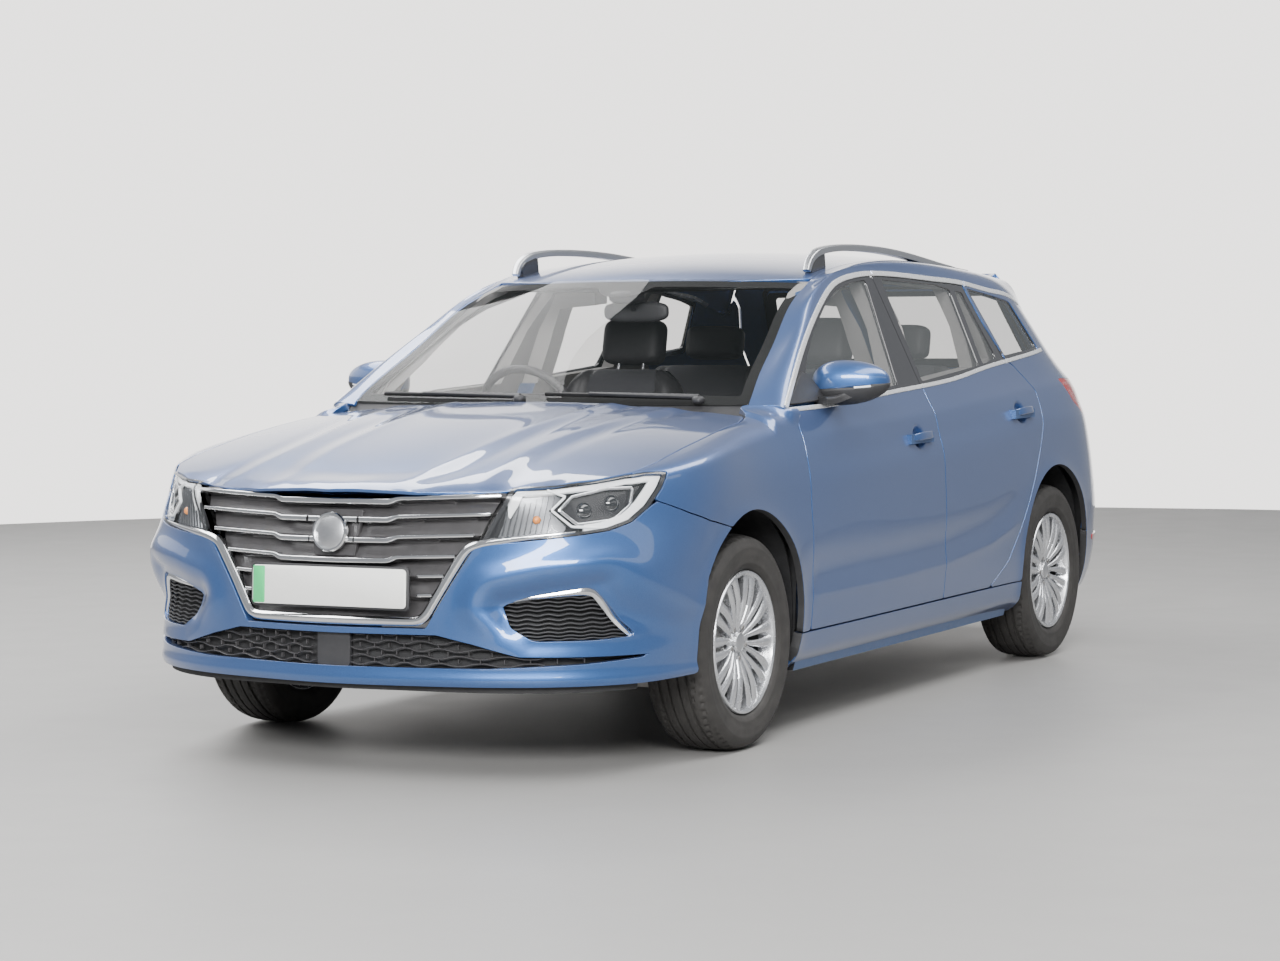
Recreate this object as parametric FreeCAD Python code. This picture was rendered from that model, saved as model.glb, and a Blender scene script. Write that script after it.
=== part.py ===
import FreeCAD, Part
import math
import os
from FreeCAD import Vector

# A five-door station wagon. Millimetres, +Z up, nose towards -Y, the car's left side at +X.
# The origin is on the ground, midway along and across the car.

doc = FreeCAD.newDocument("station_wagon")
sheet = doc.addObject("Spreadsheet::Sheet", "Sizes")

SIZES = [
    # alias, millimetres or degrees
    ("overall_length", 4600), ("half_width", 909), ("roof_height", 1521),
    ("wheelbase", 2665), ("front_overhang", 938),
    ("track_front", 1570), ("track_rear", 1574),
    ("tyre_radius", 326), ("tyre_width", 205), ("tyre_shoulder", 22), ("rim_radius", 216),
    ("rim_wall", 10), ("rim_width", 170), ("hub_radius", 62), ("spoke_count", 10), ("spoke_width", 30),
    ("spoke_depth", 34), ("disc_radius", 138), ("disc_width", 24), ("spindle_radius", 20), ("arch_radius", 372),
    ("arch_lift", 30), ("wheelhouse_radius", 402), ("wheelhouse_inner", 470), ("liner_wall", 5), ("strut_inset", 185), ("strut_radius", 42),
    ("sill_bottom", 195), ("sill_top", 318), ("waist_height", 600), ("shoulder_height", 880),
    ("belt_height", 1060), ("cant_height", 1440),
    ("slat_count", 6), ("slat_start", 618), ("slat_pitch", 35), ("slat_height", 14),
    ("skin_wall", 30), ("door_depth", 80), ("pillar_depth", 50), ("frame_gap", 8), ("shut_gap", 6),
    ("fixed_gap", 1), ("bumper_wall", 45), ("glass_wall", 5),
    ("bonnet_wall", 26), ("roof_wall", 34), ("tailgate_depth", 60),
    ("floor_height", 275), ("floor_wall", 30), ("boot_floor_height", 640),
    ("battery_length", 1560), ("battery_width", 1180), ("battery_height", 120),
    ("motor_length", 420), ("motor_width", 560), ("motor_height", 430),
    ("rail_height", 1543), ("rail_width", 34), ("rail_depth", 26), ("rail_x", 560),
    ("seat_width", 520), ("seat_depth", 500), ("seat_height", 560), ("headrest_width", 250), ("rear_seat_depth", 460),
    ("wheel_rim_radius", 182), ("wheel_rim_wall", 15), ("mirror_reach", 1017),
]
for row, (alias, value) in enumerate(SIZES, start=1):
    sheet.set("A%d" % row, alias)
    sheet.set("B%d" % row, str(value))
    sheet.setAlias("B%d" % row, alias)
doc.recompute()


def size(alias):
    return float(sheet.get(alias))


half_length = size("overall_length") / 2
front_axle = -half_length + size("front_overhang")
rear_axle = front_axle + size("wheelbase")
rear_overhang = half_length - rear_axle
half_width = size("half_width")


def fore(offset):
    """A place along the car, from the front axle."""
    return front_axle + offset


def aft(offset):
    """A place along the car, from the rear axle."""
    return rear_axle + offset


# ---------------------------------------------------------------- shapes
def line(a, b):
    return Part.LineSegment(a, b).toShape()


def arc(a, b, c):
    if (b - a).cross(c - b).Length < 1:
        return line(a, c)
    return Part.Arc(a, b, c).toShape()


def polygon_face(points):
    return Part.Face(Part.makePolygon(points + [points[0]]))


def side_prism(outline, x_from, x_to, grow=0.0):
    """A side-view outline of (y, z) points, carried across the car from x_from to x_to."""
    face = polygon_face([Vector(x_from, y, z) for y, z in outline])
    if grow:
        face = face.makeOffset2D(grow, join=2)
    return face.extrude(Vector(x_to - x_from, 0, 0))


def front_prism(outline, y_from, y_to, grow=0.0):
    """A front-view outline of (x, z) points, carried along the car."""
    face = polygon_face([Vector(x, y_from, z) for x, z in outline])
    if grow:
        face = face.makeOffset2D(grow, join=2)
    return face.extrude(Vector(0, y_to - y_from, 0))


def plan_prism(outline, z_from, z_to, grow=0.0):
    """A plan outline of (x, y) points, carried upwards."""
    face = polygon_face([Vector(x, y, z_from) for x, y in outline])
    if grow:
        face = face.makeOffset2D(grow, join=2)
    return face.extrude(Vector(0, 0, z_to - z_from))


def mirrored(shape):
    return shape.mirror(Vector(0, 0, 0), Vector(1, 0, 0))


def both(shape):
    return Part.makeCompound([shape, mirrored(shape)])


def box(x_from, x_to, y_from, y_to, z_from, z_to):
    return Part.makeBox(x_to - x_from, y_to - y_from, z_to - z_from, Vector(x_from, y_from, z_from))


def rod(start, end, radius):
    along = end - start
    return Part.makeCylinder(radius, along.Length, start, along)


# ---------------------------------------------------------------- the body's outer form
# Plan outlines, each symmetric: nose centre, front corner, side, rear corner and tail centre.
# Columns: height, nose y, front corner x and y, its middle x and y, side start x and y, mid side x,
# side end x and y, rear corner's middle x and y, rear corner x and y, tail y.
# The first y values are from the front axle, and those from the side end on are from the rear axle.
z_a, z_b, z_c = size("sill_bottom"), size("sill_top") + 12, size("waist_height")
z_d, z_e = size("shoulder_height"), size("belt_height")
w = half_width
nose = -size("front_overhang")
tail = rear_overhang
LOWER_LEVELS = [
    (z_a, nose + 38, w - 309, -790, w - 139, -640, w - 59, -430, w - 47,
     w - 59, 335, w - 109, 665, w - 289, 865, tail - 62),
    (z_b, nose, w - 259, -782, w - 89, -625, w - 16, -420, w - 11,
     w - 21, 395, w - 64, 665, w - 259, 895, tail - 7),
    (z_c, nose + 8, w - 269, -800, w - 103, -676, w - 6, -430, w,
     w - 9, 415, w - 47, 665, w - 229, 895, tail),
    (z_d, nose + 58, w - 349, -790, w - 164, -655, w - 47, -440, w - 24,
     w - 44, 415, w - 94, 665, w - 269, 875, tail - 37),
    (z_e, nose + 178, w - 369, -680, w - 209, -560, w - 109, -380, w - 83,
     w - 109, 335, w - 169, 585, w - 309, 755, tail - 162),
]
z_g = z_e - 60
z_cant = size("cant_height")
UPPER_LEVELS = [
    (z_g, 235, w - 209, 310, w - 119, 372, w - 71, 470, w - 71,
     w - 109, 85, w - 164, 515, w - 309, 765, tail - 142),
    ((z_g + z_cant) / 2 + 30, 674, w - 257, 745, w - 209, 800, w - 170, 880, w - 163,
     w - 180, 35, w - 225, 365, w - 345, 545, tail - 370),
    (z_cant, 1003, w - 309, 1062, w - 284, 1100, w - 276, 1160, w - 273,
     w - 264, -65, w - 284, 235, w - 369, 425, tail - 500),
    (z_cant + 120, 1215, w - 349, 1270, w - 334, 1300, w - 329, 1350, w - 334,
     w - 324, -165, w - 339, 95, w - 409, 295, tail - 632),
]
# Centreline heights of the bonnet and the roof: place from the front axle, height above or below a datum.
bonnet_back = z_e - 24
BONNET_LINE = [(-960, bonnet_back - 236), (-700, bonnet_back - 160), (-400, bonnet_back - 92),
               (0, bonnet_back - 28), (450, bonnet_back + 14)]
roof_top = size("roof_height")
ROOF_LINE = [(700, roof_top - 220), (1000, roof_top - 92), (1250, roof_top - 36), (1650, roof_top),
             (2300, roof_top - 14), (2900, roof_top - 58), (3400, roof_top - 110)]
crown_reach = half_width + 91


def plan_wire(level, inset):
    (z, y0, x1, y1, x2, y2, x3, y3, x4, x5, y5, x6, y6, x7, y7, y8) = level
    y_mid = (fore(y3) + aft(y5)) / 2
    half = [
        (0, fore(y0) + inset), (x1 - 0.5 * inset, fore(y1) + inset), (x2 - 0.8 * inset, fore(y2) + 0.6 * inset),
        (x3 - inset, fore(y3)), (x4 - inset, y_mid), (x5 - inset, aft(y5)),
        (x6 - 0.9 * inset, aft(y6) - 0.5 * inset), (x7 - 0.5 * inset, aft(y7) - inset), (0, aft(y8) - inset),
    ]
    p = [Vector(x, y, z) for x, y in half]
    q = [Vector(-x, y, z) for x, y in half]
    edges = [arc(q[1], p[0], p[1]), arc(p[1], p[2], p[3]), arc(p[3], p[4], p[5]), arc(p[5], p[6], p[7]),
             arc(p[7], p[8], q[7]), arc(q[7], q[6], q[5]), arc(q[5], q[4], q[3]), arc(q[3], q[2], q[1])]
    return Part.Wire(edges)


def crown_section(offset, height, drop, z_far):
    """One closed section of a crowned top: an arc over the car, closed at z_far."""
    y = fore(offset)
    left, right = Vector(-crown_reach, y, height - drop), Vector(crown_reach, y, height - drop)
    far_right, far_left = Vector(crown_reach, y, z_far), Vector(-crown_reach, y, z_far)
    return Part.Wire([arc(left, Vector(0, y, height), right), line(right, far_right),
                      line(far_right, far_left), line(far_left, left)])


def lower_hull(inset, top_inset):
    hull = Part.makeLoft([plan_wire(level, inset) for level in LOWER_LEVELS], True, True)
    above = Part.makeLoft([crown_section(y, z - top_inset, 74, z_cant + 200) for y, z in BONNET_LINE], True, False)
    return hull.cut(above)


def upper_hull(inset, top_inset):
    hull = Part.makeLoft([plan_wire(level, inset) for level in UPPER_LEVELS], True, True)
    under = Part.makeLoft([crown_section(y, z - top_inset, 100, z_g - 50) for y, z in ROOF_LINE], True, False)
    front = box(-crown_reach, crown_reach, fore(0), fore(701), z_g - 50, z_cant)
    return hull.common(under.fuse(front))


lows, highs, hulls = {}, {}, {}


def low_hull(inset, top_inset):
    """The car's outer form below the belt, set in at the sides and at the top."""
    key = (inset, top_inset)
    if key not in lows:
        lows[key] = lower_hull(inset, top_inset)
    return lows[key]


def high_hull(inset, top_inset):
    """The glasshouse's outer form."""
    key = (inset, top_inset)
    if key not in highs:
        highs[key] = upper_hull(inset, top_inset)
    return highs[key]


def hull(inset, high_inset=None):
    """Both in one, with an inset of its own for the glasshouse where one is given."""
    high_inset = inset if high_inset is None else high_inset
    key = (inset, high_inset)
    if key not in hulls:
        hulls[key] = low_hull(inset, inset).fuse(high_hull(high_inset, high_inset))
    return hulls[key]


def layer(zone, outer, inner):
    """The part of a zone that lies between two insets of the outer form."""
    return zone.common(hull(outer)).cut(hull(inner))


def nose_layer(zone, outer, inner):
    """The same, ahead of the glasshouse."""
    return zone.common(low_hull(outer, outer)).cut(low_hull(inner, inner))


def roof_layer(zone, outer, inner):
    """The same, in the glasshouse."""
    return zone.common(high_hull(outer, outer)).cut(high_hull(inner, inner))


def rows_at(points, place):
    """Turns (offset, z) points into (y, z) points along the car."""
    return [(place(y), z) for y, z in points]


def left_only(shape):
    return shape.common(box(0, 1200, -half_length - 50, half_length + 50, 0, 1800))


names = []


def add_shape(label, shape):
    solids = [s for s in shape.Solids if s.Volume > 500]
    shape = solids[0] if len(solids) == 1 else Part.makeCompound(solids)
    item = doc.addObject("Part::Feature", label)
    item.Label = label
    item.Shape = shape
    names.append(label)
    return item


def add_pair(label, shape):
    """One shape on the left, and its mirror image on the right, as two sub-parts."""
    add_shape(label + "_left", shape)
    add_shape(label + "_right", mirrored(shape))


gap = size("shut_gap") / 2
fit = 0.3
leaf_face = 0.5

# ---------------------------------------------------------------- side-view lines of the left side
sill_line = size("sill_top") + gap
door_split = fore(1541)
cant = size("cant_height")
belt = size("belt_height")
pillar_edge = [(622, belt + 104), (846, belt + 220), (1041, belt + 306), (1250, cant - 18)]
door_front = fore(430)
FRONT_DOOR = ([(door_front, sill_line), (door_split, sill_line), (door_split, cant + 13),
               (fore(1464), cant + 11)] + rows_at(pillar_edge[::-1], fore) + [(door_front, belt - 8)])
REAR_DOOR = [(door_split, sill_line)] + rows_at([
    (-728, 330), (-610, 358), (-516, 404), (-416, 498), (-325, 601), (-240, 705), (-172, 800),
    (-128, 881), (-105, 955), (-95, 1005), (-140, 1060), (-237, 1122), (-275, 1250), (-313, cant - 23),
    (-570, cant - 9), (-825, cant + 3)], aft) + [(door_split, cant + 13)]
FRONT_GLASS = rows_at([(640, belt - 28), (1347, belt), (1478, cant - 20), (1290, cant - 42), (1041, cant - 108),
                       (846, belt + 184), (700, belt + 100)], fore)
REAR_GLASS = rows_at([(-1095, belt + 6), (-503, belt + 42), (-450, cant - 48), (-1017, cant - 20)], aft)
REAR_PANE = rows_at([(-470, belt + 48), (-300, belt + 70), (-345, cant - 56), (-417, cant - 50)], aft)
QUARTER_GLASS = rows_at([(-205, belt + 76), (95, belt + 98), (28, cant - 98), (-262, cant - 64)], aft)
PILLAR_A = rows_at([(270, z_g - 8), (424, z_g - 8), (424, belt - 5), (616, belt + 110), (838, belt + 227),
                    (1036, belt + 313), (1117, cant - 47), (1117, cant - 10), (900, cant - 10), (270, belt)], fore)
ROOF_SIDE = (rows_at([(860, cant - 4), (1123, cant - 4), (1123, cant - 43), (1247, cant - 11), (1462, cant + 18)], fore)
             + [(door_split, cant + 20)]
             + rows_at([(-825, cant + 10), (-568, cant - 2), (-311, cant - 16), (-50, cant - 46)], aft)
             + [(aft(165), cant - 76), (aft(400), cant - 90), (aft(400), 1620), (fore(860), 1620)])
QUARTER_SIDE = (rows_at([(-311, cant - 22), (-269, 1250), (-231, 1125), (-133, 1064), (-88, 1005), (-98, 954),
                         (-121, 879), (-166, 797), (-234, 702), (-319, 597), (-410, 494), (-511, 399),
                         (-560, sill_line)], aft)
                + [(aft(1050), sill_line), (aft(1050), cant - 50), (aft(-50), cant - 46)])
# Front-view outlines, (x, z).
NOSE_GRILLE = [(0, 452), (292, 446), (428, 664), (506, 806), (0, 822)]
HEADLAMP_FRONT = [(452, 668), (540, 686), (755, 700), (930, 738), (930, 884), (800, 872), (528, 812)]
HEADLAMP_SIDE = rows_at([(-960, 600), (-800, 690), (-734, 738), (-636, 786), (-560, 846), (-530, 884),
                         (-530, 960), (-960, 960)], fore)
LOWER_INTAKE = [(0, 298), (560, 300), (830, 316), (550, 350), (325, 410), (0, 410)]
FOG_POCKET = [(525, 500), (590, 398), (800, 398), (845, 420), (775, 546)]
NOSE_CHROME = [(0, 414), (300, 418), (436, 648), (760, 690), (760, 700), (428, 664), (292, 446), (0, 446)]
BONNET_PLAN = [(-506, -782), (-270, -900), (0, -960), (270, -900), (506, -782), (800, -594), (812, -500),
               (800, -148), (780, 165), (744, 262), (-744, 262), (-780, 165), (-800, -148), (-812, -500),
               (-800, -594)]
BONNET = [(x, fore(y)) for x, y in BONNET_PLAN]
SCREEN = [(0, belt - 30), (716, belt - 26), (700, belt + 30), (654, 1222), (622, 1343), (588, cant - 22),
          (0, cant - 12), (-588, cant - 22), (-622, 1343), (-654, 1222), (-700, belt + 30), (-716, belt - 26)]
TAILGATE = [(-520, 610), (520, 610), (566, 780), (590, 900), (668, 1010), (640, 1180), (590, 1360), (560, 1560),
            (-560, 1560), (-590, 1360), (-640, 1180), (-668, 1010), (-590, 900), (-566, 780)]
TAILGATE_GLASS = [(-560, 1080), (560, 1080), (535, 1210), (490, 1370), (-490, 1370), (-535, 1210)]
TAIL_LAMP = [(594, 884), (960, 884), (960, 1040), (690, 1040), (668, 1010)]
TAIL_LAMP_SIDE = [(aft(1050), 880), (aft(627), 900), (aft(560), 960), (aft(375), 1040), (aft(1050), 1060)]
tailgate_split = aft(320)
bumper_line = rows_at([(-960, 668), (-800, 684), (-734, 732), (-640, 780), (-380, 600), (-380, 180), (-960, 180)], fore)
rear_bumper_side = [(aft(330), 180), (aft(330), 430), (aft(470), 600), (aft(560), 640), (aft(1060), 604), (aft(1060), 180)]


def arch_cut(y, radius, x_from):
    """The open wheel arch on the left: a round and what is under it."""
    z = size("tyre_radius") + size("arch_lift")
    cylinder = rod(Vector(x_from, y, z), Vector(1200, y, z), radius)
    below = box(x_from, 1200, y - radius, y + radius, 0, z)
    return cylinder.fuse(below)


arches = both(arch_cut(front_axle - 10, size("arch_radius"), size("wheelhouse_inner"))
              .fuse(arch_cut(rear_axle - 10, size("arch_radius"), size("wheelhouse_inner"))))

# ---------------------------------------------------------------- doors
skin = 12
rabbet = 10
door_reach = half_width - 337
glass_inset = 4


def make_door(outline, windows):
    edge = side_prism(outline, door_reach, 1000, -gap)
    step = side_prism(outline, 400, 1000).cut(side_prism(outline, 300, 1100, -gap - rabbet))
    edge = edge.cut(box(0, half_width - 165, -half_length, half_length, 0, belt - 20))
    for window in windows:
        edge = edge.cut(side_prism(window, 400, 1000))
    door = edge.common(hull(0)).cut(hull(size("door_depth"), size("pillar_depth")))
    return door.cut(step.common(hull(skin)))


def make_pane(windows):
    panes = [roof_layer(side_prism(window, 400, 1000, -fit), glass_inset, glass_inset + size("glass_wall"))
             for window in windows]
    return Part.makeCompound(panes)


def make_handle(y, z):
    """A pull handle on the door's skin."""
    x = half_width - 60
    grip = box(x, half_width + 6, y - 100, y + 100, z - 16, z + 16)
    hollow = box(x - 10, half_width - 14, y - 62, y + 62, z - 20, z + 20)
    return grip.cut(hollow)


front_door = make_door(FRONT_DOOR, [FRONT_GLASS])
rear_door = make_door(REAR_DOOR, [REAR_GLASS, REAR_PANE])
front_door = front_door.fuse(make_handle(fore(1347), 881))
rear_door = rear_door.fuse(make_handle(aft(-328), 929))
rear_door = rear_door.cut(both(arch_cut(rear_axle - 10, size("arch_radius") + 4, size("wheelhouse_inner"))))
add_pair("front_door", front_door)
add_pair("rear_door", rear_door)
add_pair("front_door_glass", make_pane([FRONT_GLASS]))
add_pair("rear_door_glass", make_pane([REAR_GLASS, REAR_PANE]))

# Mirrors stand on the front doors, ahead of the glass.
mirror_y = fore(735)
mirror_front = front_prism([(895, 1040), (1000, 1046), (size("mirror_reach"), 1075), (size("mirror_reach") + 8, 1120),
                            (985, 1158), (905, 1150), (875, 1100)], mirror_y - 75, mirror_y + 55)
mirror_edges = [e for e in mirror_front.Edges if abs(e.CenterOfMass.y - mirror_y + 75) < 1]
mirror = mirror_front.makeFillet(34, mirror_edges)
mirror_arm = box(812, 930, mirror_y - 62, mirror_y - 6, 1012, 1056)
mirror = mirror.fuse(mirror_arm.cut(hull(0)))
add_pair("door_mirror", mirror)

# ---------------------------------------------------------------- bonnet, wings, nose
bonnet_plan = plan_prism(BONNET, 700, 1200, -gap)
bonnet_rear = fore(262) - gap
bonnet = bonnet_plan.common(low_hull(0, 0)).cut(low_hull(0, size("bonnet_wall")))
bonnet = bonnet.common(box(-1000, 1000, -half_length - 20, bonnet_rear, 700, 1100))
bonnet = bonnet.cut(high_hull(-14, 0)).cut(both(front_prism(HEADLAMP_FRONT, fore(-960), fore(-480)).common(
    side_prism(HEADLAMP_SIDE, 300, 1000))))
add_shape("bonnet", bonnet)

lamp_solid = front_prism(HEADLAMP_FRONT, fore(-960), fore(-480)).common(side_prism(HEADLAMP_SIDE, 300, 1000))
lamp_hole = front_prism(HEADLAMP_FRONT, fore(-960), fore(-480), fit).common(side_prism(HEADLAMP_SIDE, 300, 1000, fit))
bonnet_hole = plan_prism(BONNET, 700, 1200, gap)
wing = box(300, 1000, fore(-660), door_front - gap, sill_line, belt + 10)
wing = wing.common(low_hull(0, 0)).cut(low_hull(size("skin_wall"), size("bonnet_wall")))
bumper_side = side_prism(bumper_line, -1000, 1000)
wing = wing.cut(bonnet_hole).cut(lamp_hole).cut(side_prism(bumper_line, 0, 1000, fit)).cut(arches)
wing = wing.cut(side_prism(PILLAR_A, 0, 1000, fit)).cut(box(0, half_width - 193, fore(255), fore(700), 700, 1200))
add_pair("front_wing", max(wing.Solids, key=lambda s: s.Volume))

headlamp = nose_layer(lamp_solid, 2, 62).cut(bonnet_hole)
add_shape("headlamps", both(headlamp))

bumper = nose_layer(bumper_side, 0, size("bumper_wall"))
for outline in (NOSE_GRILLE, NOSE_CHROME, LOWER_INTAKE):
    bumper = bumper.cut(both(front_prism(outline, fore(-1000), fore(-560), fit)))
bumper = bumper.cut(both(nose_layer(front_prism(FOG_POCKET, fore(-1000), fore(-560)), -2,
                                    size("bumper_wall") - 8)))
bumper = bumper.cut(both(lamp_hole)).cut(arches)
add_shape("front_bumper", max(bumper.Solids, key=lambda s: s.Volume))



def nose_band(z, height, outer, inner):
    """A bar that follows the nose at one height, between two insets."""
    below = max(level for level in LOWER_LEVELS if level[0] <= z)
    above = min(level for level in LOWER_LEVELS if level[0] > z)
    part = (z - below[0]) / (above[0] - below[0])
    middle, reach, corner = [below[i] + part * (above[i] - below[i]) for i in (1, 2, 3)]
    points = [Vector(-reach, fore(corner) + outer, z), Vector(0, fore(middle) + outer, z),
              Vector(reach, fore(corner) + outer, z), Vector(reach, fore(corner) + inner, z),
              Vector(0, fore(middle) + inner, z), Vector(-reach, fore(corner) + inner, z)]
    edges = [arc(points[0], points[1], points[2]), line(points[2], points[3]),
             arc(points[3], points[4], points[5]), line(points[5], points[0])]
    return Part.Face(Part.Wire(edges)).extrude(Vector(0, 0, height))


def symmetric(outline):
    """A half outline and its mirror image, as one."""
    return outline + [(-x, z) for x, z in outline[::-1] if x > 0]


grille_zone = front_prism(symmetric(NOSE_GRILLE), fore(-1000), fore(-600))
grille_back = nose_layer(grille_zone, 40, 46)
slats = [nose_band(size("slat_start") + number * size("slat_pitch"), size("slat_height"), 8, 43)
         for number in range(int(size("slat_count")))]
surround = nose_layer(both(front_prism(NOSE_CHROME, fore(-1000), fore(-600))), 0, 43)
plate_mount = nose_band(490, 111, 10, 43).common(box(-262, 262, fore(-1000), fore(-700), 480, 620))
grille = grille_back.fuse([slat.common(grille_zone) for slat in slats] + [surround, plate_mount])
flap_top = 769
flap_hole = box(-152, 152, fore(-1000), fore(-700), 622, flap_top + leaf_face)
grille = grille.cut(flap_hole)
socket_plate = nose_layer(box(-170, 170, fore(-1000), fore(-700), 600, 790), 46, 54)
socket = rod(Vector(0, fore(-868), 700), Vector(0, fore(-820), 700), 40)
grille = grille.fuse(socket_plate).fuse(socket)
grille = grille.cut(bonnet_plan.common(box(-900, 900, fore(-1000), fore(-300), 780, 1100)))
lower_mesh = nose_layer(both(front_prism(LOWER_INTAKE, fore(-1000), fore(-560))), 26, 34)
add_shape("grille", max(grille.Solids, key=lambda s: s.Volume))
add_shape("lower_intake", lower_mesh)
flap = nose_layer(box(-149, 149, fore(-1000), fore(-700), 625, flap_top), 0, 14)
badge = rod(Vector(0, fore(-944), 697), Vector(0, fore(-920), 697), 57)
add_shape("charge_flap", flap.fuse(badge))

# ---------------------------------------------------------------- screens, pillars, roof
screen_zone = front_prism(SCREEN, fore(150), fore(1150))
add_shape("windscreen", roof_layer(front_prism(SCREEN, fore(150), fore(1100), -fit), glass_inset,
                                   glass_inset + size("glass_wall")))
pillar_a = layer(side_prism(PILLAR_A, half_width - 265, 1000).cut(screen_zone), 0, size("pillar_depth"))
pillar_a = pillar_a.fuse(layer(side_prism(PILLAR_A, door_reach, half_width - 265).common(
    box(0, 1000, fore(700), fore(1200), belt, 1500)).cut(screen_zone), 0, size("pillar_depth")))
roof = side_prism(ROOF_SIDE, -1000, 1000).common(high_hull(0, 0)).cut(
    high_hull(size("pillar_depth"), size("roof_wall"))).cut(screen_zone)
roof = roof.common(box(-1000, 1000, fore(700), tailgate_split - gap, 1200, 1700))
tab = box(180, 240, tailgate_split - 20, tailgate_split + gap - leaf_face, 1300, 1700)
tabs = both(tab).common(high_hull(0, 0)).cut(high_hull(size("pillar_depth"), size("roof_wall")))
add_shape("roof_panel", roof.fuse(tabs))
quarter = layer(side_prism(QUARTER_SIDE, 400, 1000), 0, size("pillar_depth"))
tailgate_hole = front_prism(TAILGATE, aft(200), aft(1100), gap)
lamp_rear_hole = front_prism(TAIL_LAMP, aft(300), aft(1100), fit).common(side_prism(TAIL_LAMP_SIDE, 300, 1000, fit))
rear_bumper_zone = side_prism(rear_bumper_side, -1000, 1000)
quarter = quarter.cut(tailgate_hole).cut(lamp_rear_hole).cut(side_prism(rear_bumper_side, -1000, 1000, fit))
quarter = quarter.cut(side_prism(QUARTER_GLASS, 400, 1000)).cut(arches)
quarter = quarter.cut(side_prism(ROOF_SIDE, 0, 1000, fit))
add_pair("quarter_panel", quarter)
add_shape("quarter_glass", both(make_pane([QUARTER_GLASS])))
tail_lamp = front_prism(TAIL_LAMP, aft(300), aft(1100)).common(side_prism(TAIL_LAMP_SIDE, 300, 1000))
tail_lamp = layer(tail_lamp.cut(tailgate_hole), 0, size("pillar_depth"))
add_shape("tail_lamps", both(tail_lamp))
rear_bumper = layer(rear_bumper_zone, 0, size("bumper_wall")).cut(arches).cut(tailgate_hole)
add_shape("rear_bumper", rear_bumper)

tailgate_zone = front_prism(TAILGATE, tailgate_split + gap, aft(1100), -gap)
tailgate = layer(tailgate_zone.cut(front_prism(TAILGATE_GLASS, aft(200), aft(1100))), 0, size("tailgate_depth"))
tailgate_step = front_prism(TAILGATE, aft(200), aft(1100)).cut(front_prism(TAILGATE, aft(100), aft(1200),
                                                                           -gap - rabbet))
tailgate = tailgate.cut(tailgate_step.common(hull(skin)))
add_shape("tailgate", tailgate)
add_shape("tailgate_glass", roof_layer(front_prism(TAILGATE_GLASS, aft(330), aft(1100), -fit), glass_inset,
                                       glass_inset + size("glass_wall")))

# ---------------------------------------------------------------- floor, sills, posts
sill_inner = half_width - 190
house_reach = size("wheelhouse_radius") + size("liner_wall") + 1
house_top = size("tyre_radius") + size("arch_lift") + house_reach
sill = box(sill_inner, 1000, fore(house_reach - 10), aft(-house_reach - 10), size("sill_bottom"), size("sill_top"))
sill = sill.common(low_hull(0, 0))
post_zone = box(400, 1000, fore(1440), door_split - gap - 6, size("sill_top"), cant)
post = layer(post_zone, size("door_depth") + 6, 150).cut(side_prism(ROOF_SIDE, 0, 1000))
hinge_post = nose_layer(box(half_width - 200, 1000, fore(house_reach - 10), door_front - gap - 3, size("sill_top"), belt - 40),
                        size("skin_wall") + fit, 120)
leaf_x = half_width - 65
leaves = []
for z in (420, 640):
    leaves.append(box(leaf_x - 60, leaf_x, door_front - 20, door_front + gap + rabbet - leaf_face, z, z + 50))
    leaves.append(box(leaf_x - 60, leaf_x - 40, door_split - 26, door_split + gap + rabbet - leaf_face, z, z + 50))
    leaves.append(box(leaf_x - 41, leaf_x, door_split - 4, door_split + gap + rabbet - leaf_face, z, z + 50))
side_frame = sill.fuse([hinge_post, pillar_a, post] + leaves)
add_pair("side_frame", side_frame)
floor_z = size("floor_height")
floor_top = floor_z + size("floor_wall")
boot_z = size("boot_floor_height")
floor_x = sill_inner - fit
tunnel_x = size("wheelhouse_inner") - size("liner_wall") - fit
kick = fore(2315)
floor = box(-floor_x, floor_x, fore(house_reach - 4), aft(-house_reach - 10), floor_z, floor_top)
floor = floor.fuse([box(-tunnel_x, tunnel_x, aft(-house_reach - 10), kick + size("floor_wall"), floor_z, floor_top),
                    box(-tunnel_x, tunnel_x, kick, kick + size("floor_wall"), floor_top, boot_z),
                    box(-tunnel_x, tunnel_x, kick, aft(860), boot_z, boot_z + 24)])
add_shape("floor_pan", floor)
bulk_y = fore(330)
bulk_top = belt - 92
bulkhead = box(-tunnel_x, tunnel_x, bulk_y, bulk_y + 34, floor_z, bulk_top)
bulkhead = bulkhead.fuse([box(-tunnel_x, tunnel_x, bulk_y + 34, fore(house_reach - 4), floor_z, floor_top),
                          box(-700, 700, bulk_y, bulk_y + 34, house_top, bulk_top),
                          box(-636, 636, fore(268), bulk_y + 34, bulk_top, bulk_top + 16),
                          both(box(560, 600, bonnet_rear + leaf_face, bonnet_rear + 24, bulk_top + 4, belt - 52))])
add_shape("bulkhead", bulkhead)


def wheelhouse(y):
    z = size("tyre_radius") + size("arch_lift")
    inner, wall = size("wheelhouse_radius"), size("liner_wall")
    outer = rod(Vector(size("wheelhouse_inner") - wall, y, z), Vector(1000, y, z), inner + wall)
    space = rod(Vector(size("wheelhouse_inner"), y, z), Vector(1200, y, z), inner)
    liner = outer.cut(space).common(box(300, 1000, y - 500, y + 500, z - 60, 900))
    return liner.common(low_hull(50 + fit, 50 + fit))


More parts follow.
